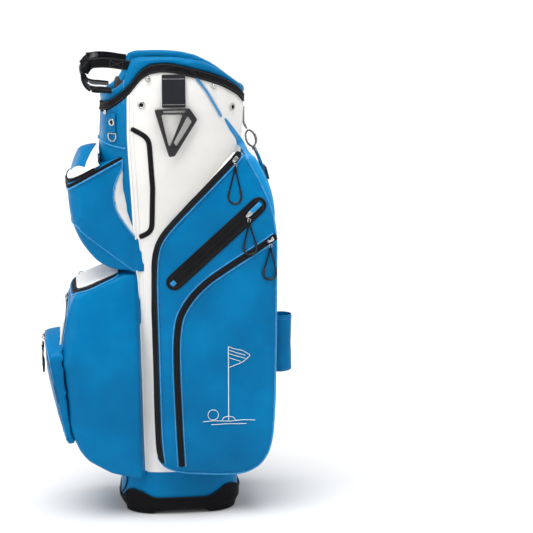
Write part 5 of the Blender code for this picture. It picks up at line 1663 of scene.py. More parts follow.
inflate(lower_v, 0.0034, 4.0, lower_pin)
puckers(lower_v, 0.0009, 16.0, 7.0)
for v in lower_v.data.vertices:
    # behind its own back seam the pocket tucks under the white strip
    q = v.co.y - (float(np.interp(v.co.z, FRONT_Z, FRONT_Y)) - 0.0035)
    if q > 0:
        k = min(1.0, q / 0.0035)
        v.co.x = math.copysign(abs(v.co.x) * (1 - k) + min(abs(v.co.x), 0.080) * k, v.co.x)
subdivide(lower_v)


def lower_pick(c, n):
    if abs(c.x) < 0.0635 and -0.1885 < c.y < -0.1315 and 0.356 < c.z < 0.462:
        return 1
    return 0


finish_soft(lower_v, [M_BLUE, M_LINING], "bag", "lower_pocket", lower_pick)
lower_skin = Skin(lower_v)


def slope_frame(p0, p1, lift):
    d = Vector((0, p1[0] - p0[0], p1[1] - p0[1])).normalized()
    m = frame_from((0, p0[0], p0[1]), (-1, 0, 0), d)
    m.translation = m.translation + m.to_3x3() @ Vector((0, 0, lift))
    return m


COOL_TOP, COOL_LOW = (-0.1100, 0.4850), (-0.1990, 0.4480)
sf = slope_frame(COOL_TOP, COOL_LOW, 0.0016)
clen = math.hypot(COOL_LOW[0] - COOL_TOP[0], COOL_LOW[1] - COOL_TOP[1])


def cool_outline(grow):
    return rounded([(-0.0665 - grow, 0.0060), (0.0665 + grow, 0.0060), (0.0735 + grow, clen - 0.006 + grow),
                    (-0.0735 - grow, clen - 0.006 + grow)], [0.006, 0.006, 0.030 + grow, 0.030 + grow], 10)


def crowned_plate(outline, m, z0, thick, crown_h, centre):
    """A padded flap: rounded edge, rising to a soft crown in the middle."""
    rings = []
    n = 110
    o = resample([Vector((x, y, 0)) for x, y in outline], n=n, closed=True)
    c = Vector((centre[0], centre[1], 0))
    for s, z in ((0.30, 0.0), (0.70, 0.0), (0.975, 0.0), (0.996, thick * 0.25), (1.0, thick * 0.5), (0.993, thick * 0.8), (0.975, thick)):
        rings.append([m @ (c + (p - c) * s + Vector((0, 0, z0 + z))) for p in o])
    for s in (0.94, 0.89, 0.80, 0.68, 0.54, 0.38, 0.20, 0.07):
        rings.append([m @ (c + (p - c) * s + Vector((0, 0, z0 + thick + crown_h * (1 - s * s) ** 0.8
                                                     + 0.0003 * mnoise.noise((c + (p - c) * s) * 30)))) for p in o])
    return loft(rings)


flap_v = add("cooler_flap_padded", *crowned_plate(cool_outline(0.0), sf, 0.0, 0.0030, 0.0024, (0, clen * 0.5)), M_WHITE, "cooler_flap",
             "white_pu", angle=50, replaces=("cooler_flap",))
edge = [sf @ Vector((x, y, 0.0026)) for x, y in cool_outline(-0.0006)]
edge = resample(edge, 0.0035, closed=True)
add("cooler_flap_piping", *tube(edge, 0.0015, 10, True), M_WHITE2, "cooler_flap", "white_pu", angle=0)
fskin = Skin(flap_v)
Q, M = lay(fskin, resample([sf @ Vector((x, y, 0.0026)) for x, y in cool_outline(-0.0058)], 0.003, closed=True),
           sf.to_3x3() @ Vector((0, 0, 1)), 0.0, 2, True)
add("cooler_flap_stitch", *stitches(Q + Q[:1], M + M[:1]), M_THREAD_W, "cooler_flap", "white_pu")


def u_path(outline_fn, grow, m, y_min, z=0.0):
    """The part of a flap's grown outline that the zip follows, open at the hinge."""
    pts = [p for p in resample([Vector((x, y, 0)) for x, y in outline_fn(grow)], 0.0035, closed=True)]
    k = min(range(len(pts)), key=lambda i: (pts[i] - Vector((0, -1, 0))).length)
    pts = pts[k:] + pts[:k]
    pts = [p for p in pts if p.y > y_min]
    return [m @ Vector((p.x, p.y, z)) for p in pts]


out_dir = (sf.to_3x3() @ Vector((0, 0, 1))).normalized()
cp = u_path(cool_outline, 0.0074, sf, 0.0090)
CZP, CZN = zip_on(lower_skin, cp, out_dir, 0.0115, name="zip_cooler", rounds=4)
cp = u_path(cool_outline, 0.0150, sf, 0.0060)
piping_on(lower_skin, cp, [(out_dir + Vector((0, 0, 0.2))).normalized()] * len(cp), "cooler_piping", M_BLUE2, r=0.0017,
          stitch=M_THREAD_B, side=(0.0034,), rounds=5)


def arch_outline(half_, top, bottom, sag, corner, n=14, steps=3):
    r = (half_ ** 2 + sag ** 2) / (2 * sag)
    pts = []
    for k in range(n + 1):
        x = half_ - 2 * half_ * k / n
        pts.append((x, top - r + math.sqrt(max(r * r - x * x, 0))))
    return rounded([(half_, bottom)] + pts + [(-half_, bottom)], corner, steps)


pf0, pf1 = (-0.2130, 0.4200), (-0.2290, 0.3180)
ff = slope_frame(pf0, pf1, 0.0030)
fl2 = arch_outline(0.0740, -0.0010, -0.0980, 0.022, 0.024, 16, 6)
fl2 = [(x, -y) for x, y in fl2]
front_v = add("front_flap_padded", *crowned_plate(fl2, ff, -0.0002, 0.0024, 0.0022, (0, 0.052)), M_WHITE, "bag", "white_pu", angle=50,
              replaces=("front_flap",))
fn = (ff.to_3x3() @ Vector((0, 0, 1))).normalized()


def arch_u(half_, top, bottom, sag, corner, m, z=0.0):
    pts = arch_outline(half_, top, bottom, sag, corner, 16, 6)
    pts = [(x, -y) for x, y in pts if y > bottom + 0.004]
    pts = sorted(pts, key=lambda p: -math.atan2(p[0], 0.11 - p[1]))
    return resample([m @ Vector((x, y, z)) for x, y in pts], 0.0035)


dirs = lambda path, base, k: [(base + Vector((p.x, 0, 0)) * k).normalized() for p in path]
ap = arch_u(0.0725, -0.0028, -0.0980, 0.022, 0.023, ff, 0.003)
add("front_flap_piping", *tube(ap, 0.0014, 10), M_WHITE2, "bag", "white_pu", angle=0)
ap = arch_u(0.0810, 0.0048, -0.0960, 0.024, 0.028, ff, 0.002)
FZP, FZN = zip_on(lower_skin, ap, dirs(ap, fn, 4.0), 0.0120, name="zip_front", rounds=5)
ap = arch_u(0.0885, 0.0118, -0.0960, 0.026, 0.032, ff, 0.002)
piping_on(lower_skin, ap, dirs(ap, fn, 7.0), "front_piping", M_BLUE2, r=0.0017, stitch=M_THREAD_B, side=(0.0034,), rounds=5)
# white piping where the upper pocket's belly meets the flap
bel = []
for k in range(41):
    u = -1 + 2 * k / 40
    bel.append(Vector((0.0870 * u, -0.1040 + 0.0230 * abs(u) ** 3, 0.4915 - 0.0012 * abs(u) ** 2)))
add("belly_piping", *tube(bel, 0.0017, 10), M_WHITE2, "bag", "white_pu", angle=0)

# ---------------------------------------------------------------- ball pocket
bu = Vector((0, -FRONT_TILT, 1)).normalized()
bframe = frame_from((0, -0.2390, 0.250), (1, 0, 0), bu)
bn = (bframe.to_3x3() @ Vector((0, 0, 1))).normalized()
ball_v = remeshed("ball_pocket_skin", "ball_pocket", 0.0045)
binv = bframe.inverted()


def ball_pin(c):
    q = binv @ Vector(c)
    if q.z < -0.003:
        return 1.0
    o = min(BALL_HALF - abs(q.x), 0.108 - 0.026 * (q.x / BALL_HALF) ** 2 - q.y, q.y + 0.102)
    return 1.0 if o < 0.0165 else 0.0


inflate(ball_v, 0.0045, 4.0, ball_pin)
puckers(ball_v, 0.0007, 18.0, 9.0)
subdivide(ball_v)
finish_soft(ball_v, [M_BLUE], "bag", "ball_pocket")
ball_skin = Skin(ball_v)


def ball_arch(inset, y_end=-0.078, corner=0.024):
    h_ = BALL_HALF - inset
    pts = arch_outline(h_, 0.108 - inset, -0.110, 0.026 * h_ / BALL_HALF, corner, 20, 6)
    pts = [p for p in pts if p[1] > y_end]
    pts = sorted(pts, key=lambda p: -math.atan2(p[0], p[1] + 0.2))
    pts = [(h_, y_end)] + pts + [(-h_, y_end)] if pts[0][1] > y_end + 0.01 else pts
    return resample([bframe @ Vector((x, y, 0.002)) for x, y in pts], 0.0035)


bp = ball_arch(0.0078, -0.074)
zip_on(ball_skin, bp, bn, 0.0125, name="zip_ball", rounds=4)
piping_on(ball_skin, ball_arch(0.0160, -0.092), bn, "ball_piping_inner", M_BLUE2, r=0.0016, stitch=M_THREAD_B, side=(-0.0034, -0.0062),
          rounds=4)
bo = ball_arch(0.0006, -0.092)
piping_on(ball_skin, bo, [(bn + (bframe.to_3x3() @ (lambda q: Vector((q.x, q.y, 0)))(binv @ p)).normalized() * 0.8).normalized() for p in bo],
          "ball_piping_outer", M_BLUE2, r=0.0014, rounds=4)
for side, sx in (("right", 1), ("left", -1)):
    q = [bframe @ Vector((sx * (BALL_HALF - 0.0078), y, 0.003)) for y in np.linspace(-0.072, -0.090, 6)]
    PP, NN = lay(ball_skin, q, bn, 0.0006, 1)
    add("ball_end_tab_" + side, *ribbon(PP, NN, 0.0140, FLAT), M_BLUE2, "bag", "blue_pu", angle=0)
e3 = Soup()


def sew_b(pts, r=0.00055, close=False):
    pp = resample([bframe @ Vector((x, y, 0.004)) for x, y in pts], 0.003, closed=close)
    PP, NN = lay(ball_skin, pp, bn, 0.0003, 1, close)
    e3.put(tube(PP, r, 6, close))
    e3.put(stitches([p + n * r for p, n in zip(PP, NN)], NN, 0, 0.0022, 0.0008, 0.0004))


sew_b([(0.0080, -0.048), (0.0080, 0.042)], 0.0008)
sew_b([(0.0090, 0.041), (0.020, 0.038), (0.031, 0.036), (0.043, 0.029), (0.031, 0.020), (0.020, 0.016), (0.0090, 0.014)])
sew_b([(0.0090, 0.036), (0.021, 0.033), (0.034, 0.029)])
sew_b([(0.0090, 0.030), (0.021, 0.027), (0.033, 0.024)])
sew_b([(0.0090, 0.023), (0.019, 0.020), (0.027, 0.018)])
cc = [(-0.022 + 0.0090 * math.cos(a), -0.038 + 0.0090 * math.sin(a)) for a in [2 * math.pi * k / 24 for k in range(24)]]
sew_b(cc, close=True)
for q, w in ((-0.026, -0.035), (-0.022, -0.0335), (-0.018, -0.035), (-0.024, -0.0390), (-0.0195, -0.0392), (-0.022, -0.0430)):
    sew_b([(q + 0.0009 * math.cos(a), w + 0.0009 * math.sin(a)) for a in [2 * math.pi * k / 8 for k in range(8)]], 0.0004, True)
sew_b([(-0.045, -0.0490), (-0.020, -0.0475), (0.008, -0.0492), (0.030, -0.0478), (0.050, -0.0490)])
sew_b([(-0.028, -0.0550), (0.005, -0.0540), (0.036, -0.0550)])
add("embroidery_front", e3.v, e3.f, M_THREAD_W, "bag", "white_pu")


# ---------------------------------------------------------------- lift handle
H_PROF = [(-0.94, -0.0022), (-1.0, -0.0010), (-1.0, 0.0006), (-0.93, 0.0017), (-0.80, 0.0019), (-0.74, 0.0022), (-0.35, 0.0031),
          (0.0, 0.0034), (0.35, 0.0031), (0.74, 0.0022), (0.80, 0.0019), (0.93, 0.0017), (1.0, 0.0006), (1.0, -0.0010),
          (0.94, -0.0022)]
A_PROF = [(-0.94, -0.0018), (-1.0, -0.0008), (-1.0, 0.0008), (-0.93, 0.0020), (-0.5, 0.0023), (0.5, 0.0023), (0.93, 0.0020),
          (1.0, 0.0008), (1.0, -0.0008), (0.94, -0.0018)]
h_right = [(0.0000, -0.1500, 0.8920), (0.0400, -0.1505, 0.8915), (0.0640, -0.1540, 0.8900), (0.0820, -0.1640, 0.8840),
           (0.0905, -0.1740, 0.8700), (0.0915, -0.1755, 0.8560), (0.0880, -0.1680, 0.8440), (0.0830, -0.1540, 0.8390),
           (0.0800, -0.1440, 0.8385), (0.0785, -0.1340, 0.8375), (0.0770, -0.1240, 0.8365)]
h_path = spline([(-x, y, z) for x, y, z in reversed(h_right[1:])] + h_right, n=121)
h_tan = tangents(h_path)
h_n, h_w = [], []
for p, t in zip(h_path, h_tan):
    s = min(1.0, max(0.0, (abs(p[0]) - 0.05) / 0.035))
    low = min(1.0, max(0.0, (0.872 - p[2]) / 0.022))
    sd = 1 if p[0] > 0 else -1
    up = Vector((0.0, 0.25, 0.97)).lerp(Vector((0.55 * sd, -0.45, 0.25)), s)
    if low > 0:
        up = up.lerp(Vector((0.80 * sd, 0.0, -0.35)), low)
    w = (up - t * up.dot(t)).normalized()
    n = t.cross(w).normalized()
    if n.dot(Vector((0, -1, 0)) if s < 0.5 else Vector((p[0], p[1] + 0.10, 0))) < 0:
        n = -n
    h_n.append(n)
    h_w.append(0.0162 + 0.0040 * s)
h_n = smooth_list(h_n, 4)
add("handle_band", *ribbon(h_path, h_n, h_w, H_PROF), M_BLACKPU, "bag", "handle_pu", angle=60, replaces=("lift_handle",))
hs = Soup()
for sd in (-0.0068, 0.0068):
    hs.put(stitches([p + n * 0.0019 for p, n in zip(h_path, h_n)], h_n, sd, 0.0024, 0.0013, 0.0003))
add("handle_stitch", hs.v, hs.f, M_THREAD_K, "bag", "handle_pu")
# the padded grip in the middle, with a fine bright bar between two slanted seams: the bar is a thin steel strip that
# paints in the highlight on the top of the grip
mid = [i for i, p in enumerate(h_path) if abs(p[0]) < 0.040]
g_prof = [(a, h + 0.0009 if abs(a) < 0.9 else h * 1.15) for a, h in H_PROF]
add("handle_grip", *ribbon([h_path[i] for i in mid], [h_n[i] for i in mid], 0.0168, g_prof), M_BLACKPU, "bag", "handle_pu", angle=60)
# painted highlight: a thin bright steel strip laid along the top of the grip where the light catches it
bar = [i for i, p in enumerate(h_path) if abs(p[0]) < 0.013]
add("handle_highlight_strip", *ribbon([h_path[i] + h_n[i] * 0.0043 for i in bar], [h_n[i] for i in bar], 0.0030,
                          [(-1, -0.0006), (-0.9, 0.0003), (0, 0.0007), (0.9, 0.0003), (1, -0.0006)]), M_STEEL, "bag", "silver",
    angle=60)
dg = Soup()
for s0, s1 in ((-0.021, -0.027), (0.021, 0.027), (-0.024, -0.030), (0.024, 0.030)):
    pts, nn = [], []
    for k in range(9):
        u = k / 8
        x = s0 + (s1 - s0) * u
        i = min(range(len(h_path)), key=lambda j: abs(h_path[j][0] - x))
        w = h_n[i].cross(h_tan[i]).normalized()
        q = h_path[i].lerp(h_path[i], 0) + w * (-0.0062 + 0.0124 * u)
        q = Vector((x, q.y, q.z)) + h_n[i] * (0.0031 + 0.0011 * (1 - (2 * u - 1) ** 2))
        pts.append(q)
        nn.append(h_n[i])
    dg.put(stitches(pts, nn, 0.0, 0.0018, 0.0008, 0.0003))
add("handle_grip_seams", dg.v, dg.f, M_THREAD_G, "bag", "handle_pu")
for side, sx in (("left", -1), ("right", 1)):
    pth = spline([(sx * 0.0800, -0.1660, 0.8870), (sx * 0.0860, -0.1420, 0.8890), (sx * 0.0855, -0.1200, 0.8875),
                  (sx * 0.0838, -0.1050, 0.8850), (sx * 0.0832, -0.0890, 0.8830)], n=30)
    tg = tangents(pth)
    nn = []
    for t in tg:
        w = Vector((0.10 * sx, 0, 1))
        w = (w - t * w.dot(t)).normalized()
        n = t.cross(w).normalized()
        nn.append(n if n.x * sx > 0 else -n)
    add("handle_arm_" + side, *ribbon(pth, nn, 0.0190, A_PROF), M_BLACKPU, "bag", "handle_pu", angle=60)
    s = Soup()
    for sd in (-0.0078, 0.0078):
        s.put(stitches([p + n * 0.0022 for p, n in zip(pth, nn)], nn, sd, 0.0024, 0.0013, 0.0003))
    a, b = pth[15], pth[24]
    wa, wb = nn[15].cross(tg[15]), nn[24].cross(tg[24])
    na = nn[20] * 0.0025
    for q0, q1 in ((a + wa * 0.006, b - wb * 0.006), (a - wa * 0.006, b + wb * 0.006), (a + wa * 0.006, a - wa * 0.006),
                   (b + wb * 0.006, b - wb * 0.006)):
        s.put(stitches([q0.lerp(q1, k / 6) + na for k in range(7)], [nn[20]] * 7, 0.0, 0.0022, 0.0010, 0.00032))
    add("handle_arm_stitch_" + side, s.v, s.f, M_THREAD_K, "bag", "handle_pu")

# ---------------------------------------------------------------- snaps and eyelets
SNAP_P = [(0.0003, 0.0004), (0.0038, 0.0), (0.0049, 0.0002), (0.0051, 0.0007), (0.0049, 0.0012), (0.0044, 0.0013), (0.0041, 0.0012),
          (0.0037, 0.0021), (0.0030, 0.0027), (0.0020, 0.0031), (0.0009, 0.0033), (0.0003, 0.0033)]
EYE_P = [(r * 1.14, h) for r, h in [(0.0034, -0.0002), (0.0059, -0.0002), (0.0064, 0.0003), (0.0064, 0.0009), (0.0060, 0.0015), (0.0052, 0.0020), (0.0044, 0.0020),
         (0.0037, 0.0016), (0.0033, 0.0008)]]


def surface_at(x=None, y=None, z=None, side=1, offset=0.0):
    if x is not None:
        return on_body(front_angle(x, z), z, offset)
    return on_body(angle_at(y, z, side), z, offset)


TABT = 0.0020
for side, sx in (("left", -1), ("right", 1)):
    for nm, kw in (("snap_front_", dict(x=sx * 0.0550, z=0.7930)), ("snap_side_", dict(y=-0.0560, z=0.8590, side=sx)),
                   ("snap_rear_", dict(y=0.0668, z=0.8440, side=sx))):
        p, n = surface_at(offset=0.0021, **kw)
        add(nm + side + "_dome", *lathe(SNAP_P, p, n), M_STEEL, "bag", "silver", angle=50, replaces=(nm + side,))
    for nm, kw, of_ in (("eyelet_front_", dict(x=sx * 0.0740, z=0.7760), 0.0014 + (TABT + 0.0004 if sx > 0 else 0)),
                        ("eyelet_side_", dict(y=-0.0690, z=0.8107, side=sx), 0.0007),
                        ("eyelet_rear_", dict(y=0.1040, z=0.8030, side=sx), 0.0007)):
        p, n = surface_at(offset=of_, **kw)
        add(nm + side + "_rolled", *lathe(EYE_P, p, n, 36, True), M_STEEL, "bag", "silver", angle=60, replaces=(nm + side,))
        # the dark mouth of the hole, a shallow dished liner
        add(nm + side + "_hole", *lathe([(0.0002, 0.00005), (0.0020, 0.0001), (0.0033, 0.0004), (0.0034, 0.0001), (0.0034, -0.0003),
                                         (0.0002, -0.0003)], p, n, 24), M_LINING, "bag", "black_plastic", angle=60)

# ---------------------------------------------------------------- side tab with its D-ring
tp, tn = surface_at(x=0.0740, z=0.7760)
tt = Vector((0, 0, 1)).cross(tn).normalized()
tabm = frame_from(tp + tn * 0.0014, tt, (0, 0, 1))
t_out = rounded([(-0.0080, -0.0190), (0.0080, -0.0190), (0.0080, 0.0170), (-0.0080, 0.0170)], 0.003, 5)
add("ring_tab_padded", *slab(t_out, tabm, 0.0, TABT, 0.0007, 4, 0.0004), M_BLUE, "bag", "blue_pu", angle=50, replaces=("ring_tab",))
s = Soup()
for sd in (-0.0062, 0.0062):
    s.put(stitches([tabm @ Vector((sd, y, TABT + 0.0002)) for y in np.linspace(-0.0165, 0.0145, 12)], [tn] * 12, 0, 0.0022, 0.0012))
s.put(stitches([tabm @ Vector((x, 0.0150, TABT + 0.0002)) for x in np.linspace(-0.006, 0.006, 6)], [tn] * 6, 0, 0.0022, 0.0012))
s.put(stitches([tabm @ Vector((x, -0.0120, TABT + 0.0004)) for x in np.linspace(-0.006, 0.006, 6)], [tn] * 6, 0, 0.0022, 0.0012))
add("ring_tab_stitch", s.v, s.f, M_THREAD_B, "bag", "blue_pu")
dz = -0.0210
dpts = resample([Vector((x, y + dz, 0.0020)) for x, y in rounded([(-0.0100, 0), (0.0100, 0), (0.0098, -0.0080), (0.0050, -0.0145),
                                                                 (-0.0050, -0.0145), (-0.0098, -0.0080)], 0.003, 6)], n=64, closed=True)
add("d_ring_wire", *tube([tabm @ p for p in dpts], 0.0013, 14, True), M_STEEL, "d_ring", "alloy", angle=0, replaces=("d_ring",))

# ---------------------------------------------------------------- towel straps and triangle rings
ST0, ST1 = 0.1116, 0.1140
TRI = [(-0.0463, 0.8030), (0.0204, 0.8045), (0.0350, 0.7830), (-0.0080, 0.7150), (-0.0190, 0.7125)]
TRI_MAIN = [(-0.0330, 0.7930), (0.0075, 0.7930), (-0.0185, 0.7300)]
TRI_SLOT = [(0.0165, 0.7905), (0.0240, 0.7790), (-0.0055, 0.7330), (-0.0100, 0.7400)]
TRI_TOP = [(-0.0290, 0.8000), (0.0120, 0.8005), (0.0120, 0.7965), (-0.0290, 0.7965)]
RX0, RX1 = 0.1121, 0.1171


def plate_with_holes(outline, holes, m, t, bevel, mat, name, body, slot, replaces):
    """A moulded plate: rounded edges outside and inside the openings (outline and holes local x, y)."""
    cu = bpy.data.curves.new(name + "_c", "CURVE")
    cu.dimensions = "2D"
    cu.fill_mode = "BOTH"
    cu.extrude = t / 2 - bevel
    cu.bevel_depth = bevel
    cu.bevel_resolution = 3
    cu.offset = -bevel
    for loop in [outline] + list(holes):
        sp = cu.splines.new("POLY")
        sp.points.add(len(loop) - 1)
        for q, (x, y) in zip(sp.points, loop):
            q.co = (x, y, 0, 1)
        sp.use_cyclic_u = True
    tmp = bpy.data.objects.new(name + "_c", cu)
    scene.collection.objects.link(tmp)
    dg_ = bpy.context.evaluated_depsgraph_get()
    me = bpy.data.meshes.new_from_object(tmp.evaluated_get(dg_))
    bpy.data.objects.remove(tmp)
    bpy.data.curves.remove(cu)
    bm_ = bmesh.new()
    bm_.from_mesh(me)
    bmesh.ops.remove_doubles(bm_, verts=bm_.verts, dist=0.00002)
    bmesh.ops.dissolve_degenerate(bm_, edges=bm_.edges, dist=0.00002)
    bm_.verts.index_update()
    vs = [m @ (v.co + Vector((0, 0, t / 2))) for v in bm_.verts]
    fs = [tuple(v.index for v in f.verts) for f in bm_.faces]
    bm_.free()
    bpy.data.meshes.remove(me)
    return add(name, vs, fs, mat, body, slot, angle=40, replaces=replaces)


for side, sx in (("left", -1), ("right", 1)):
    so = rounded([(-0.0310, 0.8060), (0.0130, 0.8060), (0.0130, 0.8675), (-0.0310, 0.8675)], 0.0022, 4)
    m = Matrix(((0, 0, sx, sx * ST0), (1, 0, 0, 0), (0, 1, 0, 0), (0, 0, 0, 1)))
    add("towel_strap_loop_" + side, *slab(so, m, 0.0, ST1 - ST0, 0.0007, 4), M_LOOP, "towel_strap_" + side, "black_web", angle=50,
        replaces=("towel_strap_" + side,))
    s = Soup()
    nx = Vector((sx, 0, 0))
    for z, inset in ((0.8595, 0.0014), (0.8115, 0.0014)):
        ys = np.linspace(-0.0310 + inset, 0.0130 - inset, 14)
        s.put(stitches([Vector((sx * (ST1 + 0.0001), y, z)) for y in ys], [nx] * 14, 0, 0.0026, 0.0009, 0.00045))
    add("towel_strap_stitch_" + side, s.v, s.f, M_THREAD_G, "towel_strap_" + side, "black_web")
    plate_with_holes(rounded(TRI, 0.0045, 6), [rounded(TRI_MAIN, 0.003, 5), rounded(TRI_SLOT, 0.0022, 4), rounded(TRI_TOP, 0.0012, 3)],
                     Matrix(((0, 0, sx, sx * RX0), (1, 0, 0, 0), (0, 1, 0, 0), (0, 0, 0, 1))), RX1 - RX0, 0.0016, M_RING,
                     "towel_ring_moulded_" + side, "towel_ring_" + side, "black_plastic", ("towel_ring_" + side,))

# ---------------------------------------------------------------- back: loop tab, ring, hook and shoulder strap
tabp = spline([(0, 0.1345, 0.7960), (0, 0.1345, 0.7800), (0, 0.1350, 0.7660)], n=14)
tn_ = [Vector((0, 1, 0))] * len(tabp)
PAD = [(-1.0, -0.0010), (-1.0, 0.0004), (-0.93, 0.0012), (-0.5, 0.0016), (0, 0.0017), (0.5, 0.0016), (0.93, 0.0012), (1.0, 0.0004),
       (1.0, -0.0010)]
add("strap_tab_loop", *ribbon(tabp, tn_, 0.0300, PAD), M_WHITE, "bag", "white_pu", angle=50, replaces=("strap_tab",))
s = Soup()
for sd in (-0.0130, 0.0130):
    s.put(stitches([p + Vector((0, 0.0013, 0)) for p in tabp], tn_, sd))
for z in (0.7915, 0.7720):
    s.put(stitches([Vector((x, 0.1362, z)) for x in np.linspace(-0.0125, 0.0125, 9)], [Vector((0, 1, 0))] * 9, 0))
add("strap_tab_stitch", s.v, s.f, M_THREAD_W, "bag", "white_pu")
ringp = rounded([(0.0165, 0.7640), (0.0175, 0.7540), (-0.0175, 0.7540), (-0.0165, 0.7640)], 0.0035, 6)
add("strap_ring_wire", *tube(resample([Vector((x, 0.1350 + (0.7630 - z) * 0.45, z)) for x, z in ringp], n=64, closed=True), 0.0015, 14,
                             True), M_GUN, "bag", "alloy", angle=0, replaces=("strap_ring",))
hook = spline([(0.0, 0.1450, 0.7490), (0.0, 0.1385, 0.7400), (0.0, 0.1420, 0.7250), (0.0, 0.1520, 0.7170), (0.0, 0.1590, 0.7250),
               (0.0, 0.1560, 0.7400)], closed=True, n=64)
add("strap_hook_wire", *tube(hook, 0.0020, 14, True), M_GUN, "bag", "alloy", angle=0, replaces=("strap_hook",))
gate = [hook[i] + Vector((0.0, 0.0, 0.0)) for i in range(40, 54)]
add("strap_hook_gate", *tube(gate, 0.0027, 14), M_GUN, "bag", "alloy", angle=0)
add("strap_hook_collar", *lathe([(0.0018, -0.004), (0.0042, -0.004), (0.0046, -0.0025), (0.0040, 0.0), (0.0046, 0.0022), (0.0042, 0.0038),
                                 (0.0018, 0.0038)], (0, 0.1545, 0.7150), (0, 0.35, -0.94), 28), M_GUN, "bag", "alloy", angle=50)
add("strap_hook_eye", *tube(resample([Vector((x, 0.1560 + (0.7115 - z) * 0.5, z)) for x, z in
                                      rounded([(0.0185, 0.7130), (0.0185, 0.7060), (-0.0185, 0.7060), (-0.0185, 0.7130)], 0.003, 5)],
                                     n=60, closed=True), 0.0013, 12, True), M_GUN, "bag", "alloy", angle=0)
sp = spline([(0, 0.1560, 0.7120), (0, 0.1640, 0.6950), (0, 0.1740, 0.6650), (0, 0.1835, 0.6200), (0, 0.1840, 0.5600),
             (0, 0.1830, 0.4600), (0, 0.1835, 0.4000)], n=90)
tg = tangents(sp)
sn = [Vector((0, -t.z, t.y)).normalized() if Vector((0, -t.z, t.y)).y > 0 else -Vector((0, -t.z, t.y)).normalized() for t in tg]
STR = [(-0.97, -0.0020), (-1.0, -0.0010), (-1.0, 0.0008), (-0.95, 0.0018), (-0.86, 0.0019), (-0.80, 0.0023), (-0.4, 0.0034), (0, 0.0037),
       (0.4, 0.0034), (0.80, 0.0023), (0.86, 0.0019), (0.95, 0.0018), (1.0, 0.0008), (1.0, -0.0010), (0.97, -0.0020)]
strap_v = add("shoulder_strap_padded", *ribbon(sp, sn, 0.0360, STR), M_BLUE, "bag", "blue_pu", angle=60, replaces=("shoulder_strap",))
puckers(strap_v, 0.0004, 40.0, 3.0)
s = Soup()
for sd in (-0.0150, 0.0150):
    s.put(stitches([p + n * 0.0020 for p, n in zip(sp, sn)], sn, sd))
add("shoulder_strap_stitch", s.v, s.f, M_THREAD_B, "bag", "blue_pu")
bk = frame_from(sp[14] + sn[14] * 0.0024, (1, 0, 0), -tg[14])
if (bk.to_3x3() @ Vector((0, 0, 1))).dot(sn[14]) < 0:
    bk = frame_from(sp[14] + sn[14] * 0.0024, (-1, 0, 0), -tg[14])
plate_with_holes(rounded([(-0.0215, -0.013), (0.0215, -0.013), (0.0215, 0.013), (-0.0215, 0.013)], 0.003, 5),
                 [rounded([(-0.0175, -0.0098), (0.0175, -0.0098), (0.0175, -0.0022), (-0.0175, -0.0022)], 0.001, 3),
                  rounded([(-0.0175, 0.0022), (0.0175, 0.0022), (0.0175, 0.0098), (-0.0175, 0.0098)], 0.001, 3)],
                 bk, 0.0042, 0.0012, M_RING, "strap_adjuster", "bag", "black_plastic", ())

# ---------------------------------------------------------------- umbrella sleeve on the spine
SLY = 0.2040


def sleeve_ring(r, z, n=56):
    return [Vector(((r + 0.0005) * math.cos(2 * math.pi * k / n), SLY + (r + 0.0055) * math.sin(2 * math.pi * k / n), z)) for k in range(n)]


slv = add("umbrella_sleeve_skin", *loft([sleeve_ring(0.0120, 0.2655), sleeve_ring(0.0185, 0.2655), sleeve_ring(0.0200, 0.2672),
                                         sleeve_ring(0.0202, 0.2720)] +
                                        [sleeve_ring(0.0201 - 0.0009 * math.sin(math.pi * k / 14) ** 2, 0.2720 + 0.1050 * k / 14) for k in range(1, 15)] +
                                        [sleeve_ring(0.0202, 0.3796), sleeve_ring(0.0199, 0.3806), sleeve_ring(0.0190, 0.3806), sleeve_ring(0.0185, 0.3796),
                                         sleeve_ring(0.0184, 0.3300), sleeve_ring(0.0180, 0.2760), sleeve_ring(0.0120, 0.2742)]),
          [M_BLUE, M_LINING], "bag", "blue_pu", angle=60, replaces=("umbrella_sleeve",))
for poly in slv.data.polygons:
    c = poly.center
    if math.hypot(c.x, (c.y - SLY) * 0.79) < 0.0189 and 0.268 < c.z < 0.3790:
        poly.material_index = 1
puckers(slv, 0.0005, 45.0, 5.0)
s = Soup()
for z, r in ((0.2705, 0.0206), (0.3725, 0.0206), (0.3760, 0.0206)):
    ring = sleeve_ring(r, z)
    nn = [(p - Vector((0, SLY, z))).normalized() for p in ring]
    s.put(stitches(ring, nn, 0))
add("umbrella_sleeve_stitch", s.v, s.f, M_THREAD_B, "bag", "blue_pu")
# small strap loop that hangs under the sleeve
stp = spline([(0.0, 0.1850, 0.2690), (0.0, 0.1885, 0.2560), (0.0, 0.1895, 0.2440), (0.0, 0.1875, 0.2330)], n=18)
add("sleeve_strap", *ribbon(stp, [Vector((0, 1, 0.1))] * 18, 0.0220, [(-1, -0.0009), (-1, 0.0007), (-0.9, 0.0011), (0.9, 0.0011), (1, 0.0007),
                                                                      (1, -0.0009)]), M_WEB, "bag", "black_web", angle=50)


